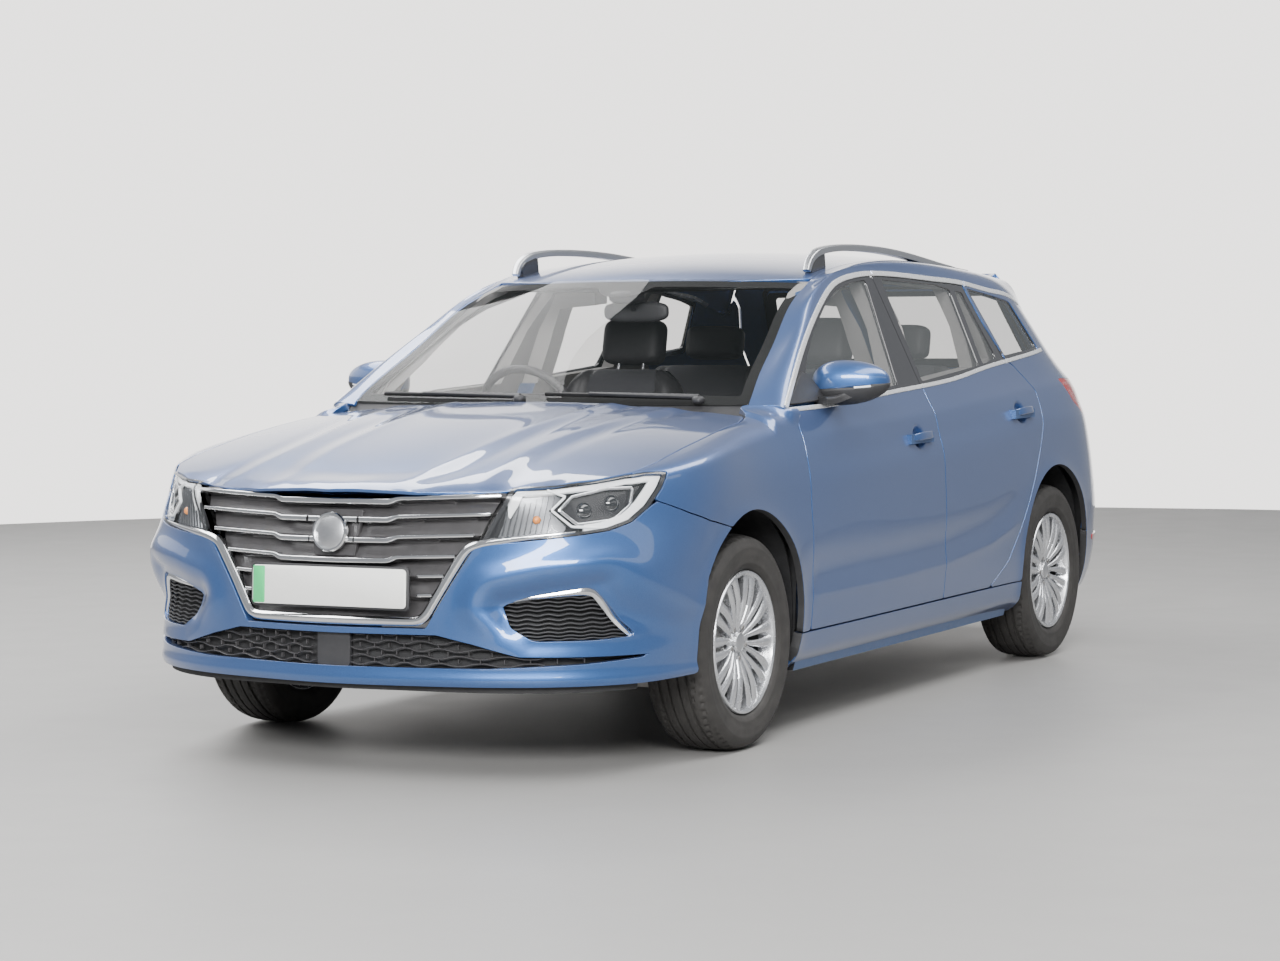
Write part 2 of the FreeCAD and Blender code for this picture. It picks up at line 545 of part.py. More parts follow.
strut_x = size("track_front") / 2 - size("strut_inset")
front_house = wheelhouse(front_axle - 10).cut(rod(Vector(strut_x, front_axle, 600), Vector(strut_x, front_axle, 900),
                                                  size("strut_radius") + fit))
rear_house = wheelhouse(rear_axle - 10).cut(side_prism(REAR_DOOR, 0, 1000, gap))
add_shape("wheelhouses_front", both(front_house))
add_shape("wheelhouses_rear", both(rear_house))

# ---------------------------------------------------------------- roof rails
rail_x = size("rail_x")
rail_top = size("rail_height")
rail_points = rows_at([(1170, 1462), (1260, rail_top - 22), (1500, rail_top), (1960, rail_top - 4),
                       (2300, rail_top - 34), (2560, 1462)], fore)
under = rows_at([(2490, 1462), (2290, rail_top - 60), (1960, rail_top - 28), (1500, rail_top - 24),
                 (1290, rail_top - 46), (1230, 1462)], fore)
rail = side_prism(rail_points + under, rail_x - size("rail_width") / 2, rail_x + size("rail_width") / 2)
add_shape("roof_rails", both(max(rail.cut(high_hull(-fit, -fit)).Solids, key=lambda s: s.Volume)))

# ---------------------------------------------------------------- running gear
tyre_r, tyre_w, rim_r = size("tyre_radius"), size("tyre_width"), size("rim_radius")
shoulder = size("tyre_shoulder")


def revolve_x(points, x_centre, y, z):
    """A section of (x, radius) points turned about a cross axis through the wheel's centre."""
    wire = Part.makePolygon([Vector(x_centre + x, y, z + r) for x, r in points + [points[0]]])
    return Part.Face(wire).revolve(Vector(x_centre, y, z), Vector(1, 0, 0), 360)


def make_wheel(label, x_centre, y):
    side = 1 if x_centre > 0 else -1
    z = tyre_r
    half = tyre_w / 2
    tyre = revolve_x([(-half + 14, rim_r + fit), (-half, rim_r + 45), (-half + 6, tyre_r - shoulder),
                      (-half + shoulder + 4, tyre_r), (half - shoulder - 4, tyre_r), (half - 6, tyre_r - shoulder),
                      (half, rim_r + 45), (half - 14, rim_r + fit)], x_centre, y, z)
    add_shape("tyre_" + label, tyre)
    rim_half, wall = size("rim_width") / 2, size("rim_wall")
    barrel = revolve_x([(-rim_half, rim_r), (rim_half, rim_r), (rim_half, rim_r - wall), (-rim_half, rim_r - wall)],
                       x_centre, y, z)
    face_x = x_centre + side * (rim_half - 12)
    hub = rod(Vector(face_x, y, z), Vector(face_x - side * 60, y, z), size("hub_radius"))
    rim = barrel.fuse(hub)
    for number in range(int(size("spoke_count"))):
        angle = 360.0 * number / size("spoke_count")
        depth = size("spoke_depth")
        x_low = min(face_x, face_x - side * depth)
        spoke = Part.makeBox(depth, size("spoke_width"), rim_r - wall / 2 - 40,
                             Vector(x_low, y - size("spoke_width") / 2, z + 40))
        spoke.rotate(Vector(x_centre, y, z), Vector(1, 0, 0), angle)
        rim = rim.fuse(spoke)
    disc = rod(Vector(face_x - side * 60, y, z), Vector(face_x - side * (60 + size("disc_width")), y, z),
               size("disc_radius"))
    rim = rim.fuse(disc)
    bore = rod(Vector(face_x - side * 20, y, z), Vector(face_x - side * 200, y, z), size("spindle_radius") + 1)
    add_shape("wheel_" + label, rim.cut(bore))
    return face_x - side * (60 + size("disc_width"))


track_f, track_r = size("track_front") / 2, size("track_rear") / 2
inner_fl = make_wheel("front_left", track_f, front_axle)
make_wheel("front_right", -track_f, front_axle)
inner_rl = make_wheel("rear_left", track_r, rear_axle)
make_wheel("rear_right", -track_r, rear_axle)

king_x = track_f - 70
knuckle = rod(Vector(inner_fl + 60, front_axle, tyre_r), Vector(king_x - 20, front_axle, tyre_r),
              size("spindle_radius"))
carrier = box(king_x - 22, king_x + 22, front_axle - 45, front_axle + 45, tyre_r - 110, tyre_r + 110)
carrier = carrier.cut(box(king_x - 5, 900, front_axle - 200, front_axle + 200, tyre_r + 200, 600))
knuckle = knuckle.fuse(carrier)
add_pair("knuckle", knuckle)
arm_top = tyre_r - 110 - fit
cradle_top = tyre_r - 95
arm = box(330, king_x + 14, front_axle - 30, front_axle + 30, arm_top - 37, arm_top)
tower_z = house_top + 3
strut = rod(Vector(strut_x, front_axle, arm_top - 10), Vector(strut_x, front_axle, tower_z), size("strut_radius"))
cradle = box(-400, 400, front_axle - 170, front_axle + 170, tyre_r - 140, cradle_top)
tower_x = strut_x + 60
tower = box(-tower_x, tower_x, front_axle - 70, front_axle + 70, tower_z, tower_z + 34)
add_shape("front_subframe", tower.fuse([arm, mirrored(arm), strut, mirrored(strut), cradle]))
trail_out = track_r - 120
beam = box(-trail_out, trail_out, rear_axle - 190, rear_axle - 130, floor_z - 29, floor_z + 17)
trailing = box(trail_out - 70, trail_out, aft(-house_reach - 10), rear_axle + 60, floor_z - 29, floor_z + 17)
trailing = trailing.fuse(box(trail_out - 70, trail_out, rear_axle - 60, rear_axle + 60, floor_z - 29, tyre_r + 34))
stub = rod(Vector(trail_out - 10, rear_axle, tyre_r), Vector(inner_rl + 60, rear_axle, tyre_r), size("spindle_radius"))
add_shape("rear_axle", beam.fuse([trailing, stub, mirrored(trailing), mirrored(stub)]))
battery = box(-size("battery_width") / 2, size("battery_width") / 2, fore(560), fore(560) + size("battery_length"),
              floor_z - size("battery_height"), floor_z)
add_shape("battery_pack", battery)
motor_y = front_axle - size("motor_length") / 2
add_shape("drive_motor", box(-size("motor_width") / 2, size("motor_width") / 2, motor_y,
                             motor_y + size("motor_length"), cradle_top, cradle_top + size("motor_height")))

# ---------------------------------------------------------------- cabin
seat_w, seat_d, seat_h = size("seat_width"), size("seat_depth"), size("seat_height")


def make_seat(x, y, width, depth):
    base_z = floor_top + fit
    back_y = y + depth - 110
    base = box(x - width / 2 + 40, x + width / 2 - 40, y + 40, y + depth - 60, base_z, base_z + 150)
    cushion = box(x - width / 2, x + width / 2, y, y + depth, base_z + 150, base_z + 290)
    back = side_prism([(back_y + 30, base_z + 200), (back_y + 130, base_z + 200),
                       (back_y + 300, base_z + 240 + seat_h), (back_y + 190, base_z + 240 + seat_h)],
                      x - width / 2, x + width / 2)
    rest_w = size("headrest_width") / 2
    rest = box(x - rest_w, x + rest_w, back_y + 200, back_y + 300, base_z + 255 + seat_h, base_z + 430 + seat_h)
    pins = [rod(Vector(x + side * 50, back_y + 245, base_z + 200 + seat_h),
                Vector(x + side * 50, back_y + 250, base_z + 260 + seat_h), 7) for side in (-1, 1)]
    return base.fuse([cushion, back, rest] + pins)


add_shape("front_seats", both(make_seat(370, fore(1050), seat_w, seat_d)))
rear_y = fore(1790)
rear_d = size("rear_seat_depth")
add_shape("rear_seat", make_seat(0, rear_y, 300, rear_d).fuse([make_seat(382, rear_y, 520, rear_d),
                                                              make_seat(-382, rear_y, 520, rear_d)]))
dash_front = bulk_y + 34 + fit
dash_zone = side_prism([(fore(404), 620)] + rows_at([(700, 640), (760, 800), (740, 930), (560, 985)], fore)
                       + [(dash_front, bulk_top - 3), (dash_front, 772), (fore(404), 772)], -700, 700)
add_shape("dashboard", dash_zone)
wheel_tilt = 24
wheel_axis = Vector(0, math.cos(math.radians(wheel_tilt)), math.sin(math.radians(wheel_tilt)))
wheel_centre = Vector(-370, fore(905), 960)
ring = Part.makeTorus(size("wheel_rim_radius"), size("wheel_rim_wall"), wheel_centre, wheel_axis)
hub_a, hub_b = wheel_centre - wheel_axis * 40, wheel_centre + wheel_axis * 12
steering_hub = rod(hub_a, hub_b, 75)
spokes = Part.makeBox(2 * size("wheel_rim_radius"), 34, 20, Vector(-size("wheel_rim_radius"), -17, -10))
spokes.Placement = FreeCAD.Placement(wheel_centre, FreeCAD.Rotation(Vector(0, 0, 1), wheel_axis))
add_shape("steering_wheel", ring.fuse(steering_hub).fuse(spokes))
column = rod(wheel_centre - wheel_axis * 40.3, wheel_centre - wheel_axis * 200, 26)
add_shape("steering_column", column.cut(dash_zone))


wiper_y = fore(302)
wiper_z = belt - 12
arms = []
for x_from, x_to in ((60, 640), (-620, -40)):
    x_pivot = x_to - 20
    arm = box(x_from, x_to, wiper_y, wiper_y + 11, wiper_z, wiper_z + 11)
    foot = rod(Vector(x_pivot, wiper_y - 22, bulk_top + 16), Vector(x_pivot, wiper_y - 22, wiper_z + 8), 8)
    link = box(x_pivot - 8, x_pivot + 8, wiper_y - 24, wiper_y + 4, wiper_z, wiper_z + 8)
    arms.append(arm.fuse([foot, link]))
add_shape("wipers", Part.makeCompound(arms))

doc.recompute()
os.makedirs("parts", exist_ok=True)
for label in names:
    item = doc.getObject(label)
    state = [word for word in item.State if word in ("Invalid", "Error")]
    if state or item.Shape.isNull() or not item.Shape.isValid() or not item.Shape.Solids:
        raise RuntimeError(label + " is not a valid shape")
    item.Shape.exportStep("parts/" + label + ".step")
    print(label, len(item.Shape.Solids), round(item.Shape.Volume / 1e6, 2))
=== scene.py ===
import math

import bmesh
import bpy
import numpy as np
from mathutils import Matrix, Vector


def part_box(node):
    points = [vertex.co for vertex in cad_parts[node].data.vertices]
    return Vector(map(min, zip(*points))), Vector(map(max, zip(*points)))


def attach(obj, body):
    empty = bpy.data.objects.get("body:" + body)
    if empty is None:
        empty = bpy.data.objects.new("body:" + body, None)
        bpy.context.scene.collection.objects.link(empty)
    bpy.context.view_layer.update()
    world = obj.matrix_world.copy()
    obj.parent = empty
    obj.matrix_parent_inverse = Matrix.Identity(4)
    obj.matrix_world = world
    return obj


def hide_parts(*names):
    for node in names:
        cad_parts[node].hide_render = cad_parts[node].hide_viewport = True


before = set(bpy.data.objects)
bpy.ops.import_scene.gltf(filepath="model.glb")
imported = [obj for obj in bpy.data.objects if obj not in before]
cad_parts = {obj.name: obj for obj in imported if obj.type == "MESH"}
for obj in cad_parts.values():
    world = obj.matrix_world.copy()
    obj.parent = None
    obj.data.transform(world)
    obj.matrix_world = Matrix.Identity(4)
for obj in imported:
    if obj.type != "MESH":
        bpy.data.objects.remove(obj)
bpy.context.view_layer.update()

# Body shapes are worked out in millimetres and turned to metres when a mesh is made.
# x is across the car (left is +), y runs to the tail, z is up.
frontAxle = -1362.0
rearAxle = 1303.0
sides = ("left", "right")


def fore(y):  # measured from the front axle
    return frontAxle + y


def aft(y):  # measured from the rear axle
    return rearAxle + y


def moved(x, y, z):
    return Matrix.Translation((x * 0.001, y * 0.001, z * 0.001))


def turned(degrees, axis):
    return Matrix.Rotation(math.radians(degrees), 4, axis)


def newMaterial(name):
    material = bpy.data.materials.new(name)
    material.use_nodes = True
    tree = material.node_tree
    return material, tree, tree.nodes["Principled BSDF"]


def addNode(tree, kind, **values):
    node = tree.nodes.new(kind)
    for key, value in values.items():
        if key in node.inputs:
            node.inputs[key].default_value = value
        else:
            setattr(node, key, value)
    return node


def setSockets(node, values):
    for name, value in values.items():
        node.inputs[name].default_value = value


def ranged(tree, source, low, high):
    node = addNode(tree, "ShaderNodeMapRange")
    setSockets(node, {"To Min": low, "To Max": high})
    tree.links.new(source, node.inputs["Value"])
    return node.outputs["Result"]


def noiseSocket(tree, scale, detail=4.0, roughness=0.55, stretch=None):
    place = addNode(tree, "ShaderNodeTexCoord")
    noise = addNode(tree, "ShaderNodeTexNoise", Scale=scale, Detail=detail, Roughness=roughness)
    source = place.outputs["Object"]
    if stretch:
        mapping = addNode(tree, "ShaderNodeMapping")
        mapping.inputs["Scale"].default_value = stretch
        tree.links.new(source, mapping.inputs["Vector"])
        source = mapping.outputs["Vector"]
    tree.links.new(source, noise.inputs["Vector"])
    return noise.outputs["Fac"]


def ramp(tree, source, stops):
    node = addNode(tree, "ShaderNodeValToRGB")
    points = node.color_ramp.elements
    while len(points) < len(stops):
        points.new(0.5)
    for point, (position, colour) in zip(points, stops):
        point.position = position
        point.color = (*colour, 1) if len(colour) == 3 else colour
    tree.links.new(source, node.inputs["Fac"])
    return node.outputs["Color"]


def shade(colour, factor):
    return tuple(min(1.0, c * factor) for c in colour)


# a solid finish with fine colour, roughness and bump variation
def finish(name, colour, roughness=0.4, metallic=0.0, spread=0.06, scale=30.0, grain=0.0, grainScale=400.0,
           roughSpread=0.05, stretch=None, coat=0.0, sheen=0.0, specular=None):
    material, tree, shader = newMaterial(name)
    fac = noiseSocket(tree, scale, stretch=stretch)
    tones = [(0.25, shade(colour, 1 - spread)), (0.75, shade(colour, 1 + spread))]
    tree.links.new(ramp(tree, fac, tones), shader.inputs["Base Color"])
    rough = ranged(tree, noiseSocket(tree, scale * 2.7), max(0.01, roughness - roughSpread),
                   min(1.0, roughness + roughSpread))
    tree.links.new(rough, shader.inputs["Roughness"])
    setSockets(shader, {"Metallic": metallic, "Coat Weight": coat, "Coat Roughness": 0.04})
    if sheen:
        setSockets(shader, {"Sheen Weight": sheen, "Sheen Roughness": 0.5})
    if specular is not None:
        setSockets(shader, {"Specular IOR Level": specular})
    if grain:
        relief = addNode(tree, "ShaderNodeBump", Strength=grain, Distance=0.0004)
        tree.links.new(noiseSocket(tree, grainScale, detail=2.0), relief.inputs["Height"])
        tree.links.new(relief.outputs["Normal"], shader.inputs["Normal"])
    return material


# the pale lavender mixed in where the surface turns away is a painted sheen
paint = {
    "deep": (0.016, 0.066, 0.215), "bright": (0.036, 0.120, 0.330), "paintedSheen": (0.15, 0.19, 0.34),
    "paintedSheenBlend": 0.34, "flakeScale": 1500.0, "flakeTilt": 0.10, "roughness": (0.30, 0.38),
    "sockets": {"Metallic": 0.62, "Coat Weight": 1.0, "Coat Roughness": 0.02, "Coat IOR": 1.55},
}


# metallic blue with a painted lavender sheen where the surface turns away, flake under a clear coat
def paintFinish():
    material, tree, shader = newMaterial("paintBlue")
    place = addNode(tree, "ShaderNodeTexCoord")
    flake = addNode(tree, "ShaderNodeTexVoronoi", Scale=paint["flakeScale"])
    tree.links.new(place.outputs["Object"], flake.inputs["Vector"])
    base = ramp(tree, flake.outputs["Color"], [(0.1, paint["deep"]), (0.9, paint["bright"])])
    # painted sheen: the base colour turns pale lavender where the surface turns away from view
    facing = addNode(tree, "ShaderNodeLayerWeight", Blend=paint["paintedSheenBlend"])
    mix = addNode(tree, "ShaderNodeMix", data_type="RGBA")
    tree.links.new(facing.outputs["Facing"], mix.inputs["Factor"])
    tree.links.new(base, mix.inputs["A"])
    mix.inputs["B"].default_value = (*paint["paintedSheen"], 1)
    tree.links.new(mix.outputs["Result"], shader.inputs["Base Color"])
    relief = addNode(tree, "ShaderNodeBump", Strength=paint["flakeTilt"], Distance=0.0003)
    tree.links.new(flake.outputs["Distance"], relief.inputs["Height"])
    tree.links.new(relief.outputs["Normal"], shader.inputs["Normal"])
    rough = ranged(tree, noiseSocket(tree, 3.0), *paint["roughness"])
    tree.links.new(rough, shader.inputs["Roughness"])
    setSockets(shader, paint["sockets"])
    return material


# clear glass or plastic: a see-through gloss with a faint ripple and a tint, part opaque; on the side glass
# that grey is partly a painted reflection
def glassFinish(name, tintAndReflection, alpha):
    material, tree, shader = newMaterial(name)
    fac = noiseSocket(tree, 4.0)
    tree.links.new(ramp(tree, fac, [(0.2, shade(tintAndReflection, 0.97)), (0.8, tintAndReflection)]), shader.inputs["Base Color"])
    setSockets(shader, {"Roughness": 0.0, "IOR": 1.45, "Alpha": alpha, "Coat Weight": 1.0,
                        "Coat Roughness": 0.0, "Specular IOR Level": 0.5})
    return material


paintBlue = paintFinish()
chrome = finish("chromeTrim", (0.86, 0.87, 0.88), roughness=0.10, metallic=1.0, spread=0.02, roughSpread=0.03)
windowChrome = finish("windowChrome", (0.86, 0.87, 0.88), roughness=0.26, metallic=0.55, spread=0.02)
satinMetal = finish("satinAluminium", (0.62, 0.63, 0.65), roughness=0.32, metallic=1.0, spread=0.04,
                    stretch=(2, 30, 2))
alloySilver = finish("alloySilver", (0.66, 0.67, 0.69), roughness=0.26, metallic=0.85, spread=0.03, coat=0.8)
alloyPocket = finish("alloyPocketGrey", (0.20, 0.205, 0.21), roughness=0.4, metallic=0.7, spread=0.1,
                     coat=0.4)
glossBlack = finish("glossBlack", (0.012, 0.012, 0.014), roughness=0.10, spread=0.2, coat=1.0)
grainBlack = finish("grainedBlackPlastic", (0.024, 0.024, 0.026), roughness=0.55, spread=0.15, grain=0.5,
                    grainScale=900)
grilleGrey = finish("grilleGrey", (0.060, 0.058, 0.060), roughness=0.34, spread=0.12, grain=0.25,
                    metallic=0.2)
undertrayBlack = finish("undertrayBlack", (0.018, 0.018, 0.019), roughness=0.75, spread=0.3, grain=0.8,
                        grainScale=250)
sealRubber = finish("sealRubber", (0.012, 0.012, 0.012), roughness=0.65, spread=0.2, grain=0.2)
tyreRubber = finish("tyreRubber", (0.030, 0.028, 0.026), roughness=0.72, spread=0.28, scale=18, grain=0.6,
                    grainScale=500)
castSteel = finish("castSteel", (0.30, 0.29, 0.28), roughness=0.45, metallic=0.9, spread=0.15, grain=0.3)
discSteel = finish("brakeDiscSteel", (0.52, 0.51, 0.50), roughness=0.28, metallic=1.0, spread=0.08,
                   stretch=(1, 40, 40))
plateWhite = finish("plateWhite", (0.80, 0.80, 0.77), roughness=0.35, spread=0.02, coat=0.5)
plateGreen = finish("plateGreen", (0.035, 0.52, 0.17), roughness=0.35, spread=0.04, coat=0.5)
lampBlack = finish("lampBezelBlack", (0.016, 0.016, 0.018), roughness=0.18, spread=0.2, coat=0.6)
lampGrey = finish("lampInnerGrey", (0.15, 0.155, 0.165), roughness=0.25, metallic=0.7, spread=0.08)
lampGuide = finish("lampLightGuide", (0.88, 0.90, 0.92), roughness=0.22, spread=0.03, coat=1.0)
amberLens = finish("amberLens", (0.75, 0.24, 0.03), roughness=0.2, spread=0.1, coat=1.0)
reflectorRed = finish("redReflector", (0.45, 0.012, 0.012), roughness=0.16, spread=0.12, coat=1.0)
reflectorSilver = finish("lampReflector", (0.82, 0.83, 0.85), roughness=0.12, metallic=1.0, spread=0.03)
seatCloth = finish("seatCloth", (0.045, 0.045, 0.050), roughness=0.9, spread=0.3, scale=500, grain=0.7,
                   grainScale=1400, sheen=0.08)
seatLeather = finish("seatSideLeatherette", (0.035, 0.034, 0.036), roughness=0.48, spread=0.15, scale=60,
                     grain=0.5, grainScale=700)
dashSoft = finish("dashSoftBlack", (0.022, 0.022, 0.024), roughness=0.62, spread=0.15, grain=0.6,
                  grainScale=800)
dashTrim = finish("dashSatinTrim", (0.45, 0.46, 0.48), roughness=0.3, metallic=0.9, spread=0.05)
screenBlack = finish("screenGlassBlack", (0.006, 0.007, 0.009), roughness=0.06, spread=0.1, coat=1.0)
headliner = finish("headlinerGrey", (0.42, 0.41, 0.39), roughness=0.95, spread=0.06, scale=300, grain=0.4,
                   grainScale=1200, sheen=0.3)
carpet = finish("carpetCharcoal", (0.030, 0.030, 0.032), roughness=1.0, spread=0.4, scale=350, grain=1.0,
                grainScale=900, sheen=0.3)
pillarTrim = finish("pillarTrimGrey", (0.30, 0.29, 0.28), roughness=0.8, spread=0.06, scale=200, grain=0.5,
                    grainScale=900)
fritBlack = finish("printedEdgeBlack", (0.010, 0.010, 0.010), roughness=0.7, spread=0.2, specular=0.15)
structurePaint = finish("bodyShellPaint", (0.045, 0.105, 0.255), roughness=0.42, metallic=0.4, spread=0.08,
                        coat=0.4)
# the side and tailgate glass: a faint real tint plus a part-opaque grey that is a painted reflection veil
windowGlass = glassFinish("windowGlass", (0.13, 0.14, 0.14), 0.42)
screenGlass = glassFinish("windscreenGlass", (0.012, 0.016, 0.016), 0.16)
lensClear = glassFinish("lampLensClear", (0.25, 0.27, 0.28), 0.07)
lensRed = glassFinish("lampLensRed", (0.50, 0.010, 0.010), 0.80)
print("stage: materials ready", len(bpy.data.materials))


# natural cubic through the knots; values may have several columns
def spline(knots, values, query):
    knots, values, query = (np.asarray(part, float) for part in (knots, values, query))
    flat = values.reshape(len(knots), -1)
    out = splineAt(knots, flat, splineBend(knots, flat), query)
    return out.reshape(query.shape + values.shape[1:])


def splineBend(knots, flat):
    n = len(knots)
    step = np.diff(knots)
    system = np.eye(n)
    right = np.zeros(flat.shape)
    for i in range(1, n - 1):
        system[i, i - 1:i + 2] = (step[i - 1], 2 * (step[i - 1] + step[i]), step[i])
        right[i] = 6 * ((flat[i + 1] - flat[i]) / step[i] - (flat[i] - flat[i - 1]) / step[i - 1])
    return np.linalg.solve(system, right)


def splineAt(knots, flat, second, query):
    i = np.clip(np.searchsorted(knots, query.ravel()) - 1, 0, len(knots) - 2)
    step = (knots[i + 1] - knots[i])[:, None]
    q = query.ravel()[:, None]
    a = (knots[i + 1][:, None] - q) / step
    b = (q - knots[i][:, None]) / step
    lift = ((a ** 3 - a) * second[i] + (b ** 3 - b) * second[i + 1]) * step ** 2 / 6
    return a * flat[i] + b * flat[i + 1] + lift


def unit(vectors):
    return vectors / np.maximum(np.linalg.norm(vectors, axis=-1, keepdims=True), 1e-9)


def columns(*parts):
    return np.stack(parts, axis=-1)


def smoothStep(value):
    value = np.clip(value, 0, 1)
    return value * value * (3 - 2 * value)


# evenly numbered points along a line through the given ones
def along(points, count, smooth=True):
    points = np.asarray(points, float)
    run = np.concatenate([[0], np.cumsum(np.linalg.norm(np.diff(points, axis=0), axis=1))])
    query = np.linspace(0, run[-1], count)
    if smooth and len(points) > 2:
        return spline(run, points, query)
    return np.stack([np.interp(query, run, points[:, k]) for k in range(points.shape[1])], axis=1)


# a closed outline with its corners rounded; radius may be one per corner
def rounded(points, radius, steps=6):
    points = [np.asarray(p, float) for p in points]
    count = len(points)
    radii = radius if isinstance(radius, (list, tuple)) else [radius] * count
    out = []
    for i, p in enumerate(points):
        before = points[i - 1] - p
        after = points[(i + 1) % count] - p
        lengthB, lengthA = np.linalg.norm(before), np.linalg.norm(after)
        unitB, unitA = before / lengthB, after / lengthA
        half = math.acos(max(-1, min(1, float(unitB @ unitA)))) / 2
        if radii[i] <= 0 or half > 1.54 or half < 0.03:
            out.append(p)
            continue
        reach = min(radii[i] / math.tan(half), 0.45 * lengthB, 0.45 * lengthA)
        start, end = p + unitB * reach, p + unitA * reach
        for k in range(steps + 1):
            t = k / steps
            out.append((1 - t) ** 2 * start + 2 * t * (1 - t) * p + t * t * end)
    return np.array(out)


# signed distance to a closed outline, below zero inside it
def outlineDistance(outline, a, b):
    outline = np.asarray(outline, float)
    shape = a.shape
    a, b = a.ravel(), b.ravel()
    best = np.full(a.shape, 1e18)
    inside = np.zeros(a.shape, bool)
    for (ax, ay), (bx, by) in zip(outline, np.roll(outline, -1, axis=0)):
        dx, dy = bx - ax, by - ay
        span = dx * dx + dy * dy
        if span < 1e-12:
            continue
        t = np.clip(((a - ax) * dx + (b - ay) * dy) / span, 0, 1)
        best = np.minimum(best, (a - ax - t * dx) ** 2 + (b - ay - t * dy) ** 2)
        crosses = (ay > b) != (by > b)
        inside ^= crosses & (a < ax + (b - ay) * dx / (dy if dy else 1e-12))
    distance = np.sqrt(best)
    return np.where(inside, -distance, distance).reshape(shape)


# distance to an open line, above zero on its right as it runs
def lineDistance(line, a, b):
    line = np.asarray(line, float)
    shape = a.shape
    a, b = a.ravel(), b.ravel()
    best = np.full(a.shape, 1e18)
    sign = np.ones(a.shape)
    for (ax, ay), (bx, by) in zip(line[:-1], line[1:]):
        dx, dy = bx - ax, by - ay
        t = np.clip(((a - ax) * dx + (b - ay) * dy) / (dx * dx + dy * dy), 0, 1)
        gap = (a - ax - t * dx) ** 2 + (b - ay - t * dy) ** 2
        side = np.sign((a - ax) * dy - (b - ay) * dx)
        closer = gap < best
        sign = np.where(closer, side, sign)
        best = np.minimum(best, gap)
    return (np.sqrt(best) * sign).reshape(shape)


# puts a piece on its body and hides the imported node it stands for
def assign(item, body=None, node=None):
    if body:
        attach(item, body)
    if node:
        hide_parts(node)
    return item


def addPiece(name, mesh, body=None, node=None):
    item = bpy.data.objects.new(name, mesh)
    bpy.context.scene.collection.objects.link(item)
    return assign(item, body, node)


def meshPoints(mesh):
    co = np.empty(len(mesh.vertices) * 3)
    mesh.vertices.foreach_get("co", co)
    return co.reshape(-1, 3)


def makeObject(name, verts, faces, material, normals=None, smooth=True):
    mesh = bpy.data.meshes.new(name)
    mesh.from_pydata([tuple(v) for v in np.asarray(verts, float) * 0.001], [],
                     [tuple(int(i) for i in face) for face in faces])
    mesh.polygons.foreach_set("use_smooth", [smooth] * len(mesh.polygons))
    if normals is not None:
        mesh.normals_split_custom_set_from_vertices([tuple(n) for n in normals])
    mesh.materials.append(material)
    return addPiece(name, mesh)


# faces between rows of n points that each close on themselves; wrap joins the last row to the first
def rowFaces(rows, n, wrap=False, start=0):
    return [(start + i * n + j, start + i * n + (j + 1) % n, start + (i + 1) % rows * n + (j + 1) % n,
             start + (i + 1) % rows * n + j) for i in range(rows if wrap else rows - 1) for j in range(n)]


# the two ends of such rows, the first turned back
def endFaces(rows, n):
    return [tuple(range(n - 1, -1, -1)), tuple(range((rows - 1) * n, rows * n))]


def editMesh(item, *changes):
    work = bmesh.new()
    work.from_mesh(item.data)
    for change in changes:
        change(work)
    work.to_mesh(item.data)
    work.free()


def faceOut(work):
    bmesh.ops.recalc_face_normals(work, faces=work.faces)


def merge(work):
    bmesh.ops.remove_doubles(work, verts=work.verts, dist=1e-5)


# smooth shading, with edges over the angle kept crisp
def sharpen(item, degrees):
    def crisp(work):
        for edge in work.edges:
            if len(edge.link_faces) == 2 and edge.calc_face_angle(0) > math.radians(degrees):
                edge.smooth = False
    editMesh(item, crisp)


# a closed form with its faces turned out, smooth but for edges over the angle
def solid(name, verts, faces, material, degrees, body=None, node=None, slot=None, clean=()):
    item = makeObject(name, verts, faces, material)
    editMesh(item, *clean, faceOut)
    sharpen(item, degrees)
    return assign(item, body, node)


def gridNormals(points):
    return unit(np.cross(np.gradient(points, axis=0), np.gradient(points, axis=1)))


# keeps the part of a grid where field is below zero and cuts its cells along the edge
def clipGrid(points, normals, field):
    verts, vertNormals, faces, index = [], [], [], {}
    inside = field < 0

    def corner(i, j):
        key = (i, j)
        if key not in index:
            index[key] = len(verts)
            verts.append(points[i, j])
            vertNormals.append(normals[i, j])
        return index[key]

    def crossing(i, j, k, m):
        key = (i, j, k, m) if (i, j) < (k, m) else (k, m, i, j)
        if key not in index:
            i, j, k, m = key
            t = field[i, j] / (field[i, j] - field[k, m])
            index[key] = len(verts)
            verts.append(points[i, j] * (1 - t) + points[k, m] * t)
            vertNormals.append(normals[i, j] * (1 - t) + normals[k, m] * t)
        return index[key]

    count = inside[:-1, :-1].astype(int) + inside[1:, :-1] + inside[1:, 1:] + inside[:-1, 1:]
    for i, j in zip(*np.nonzero(count)):
        cell = [(i, j), (i + 1, j), (i + 1, j + 1), (i, j + 1)]
        if count[i, j] == 4:
            faces.append([corner(*c) for c in cell])
            continue
        loop = []
        for n, c in enumerate(cell):
            d = cell[(n + 1) % 4]
            if inside[c]:
                loop.append(corner(*c))
            if inside[c] != inside[d]:
                loop.append(crossing(*c, *d))
        if count[i, j] == 2 and inside[cell[0]] == inside[cell[2]]:
            half = [[0, 1, 2], [3, 4, 5]] if inside[cell[1]] else [[0, 1, 5], [2, 3, 4]]
            for h in half:
                faces.append([loop[k] for k in h])
            continue
        if len(loop) > 2:
            faces.append(loop)
    return np.array(verts), np.array(vertNormals), faces


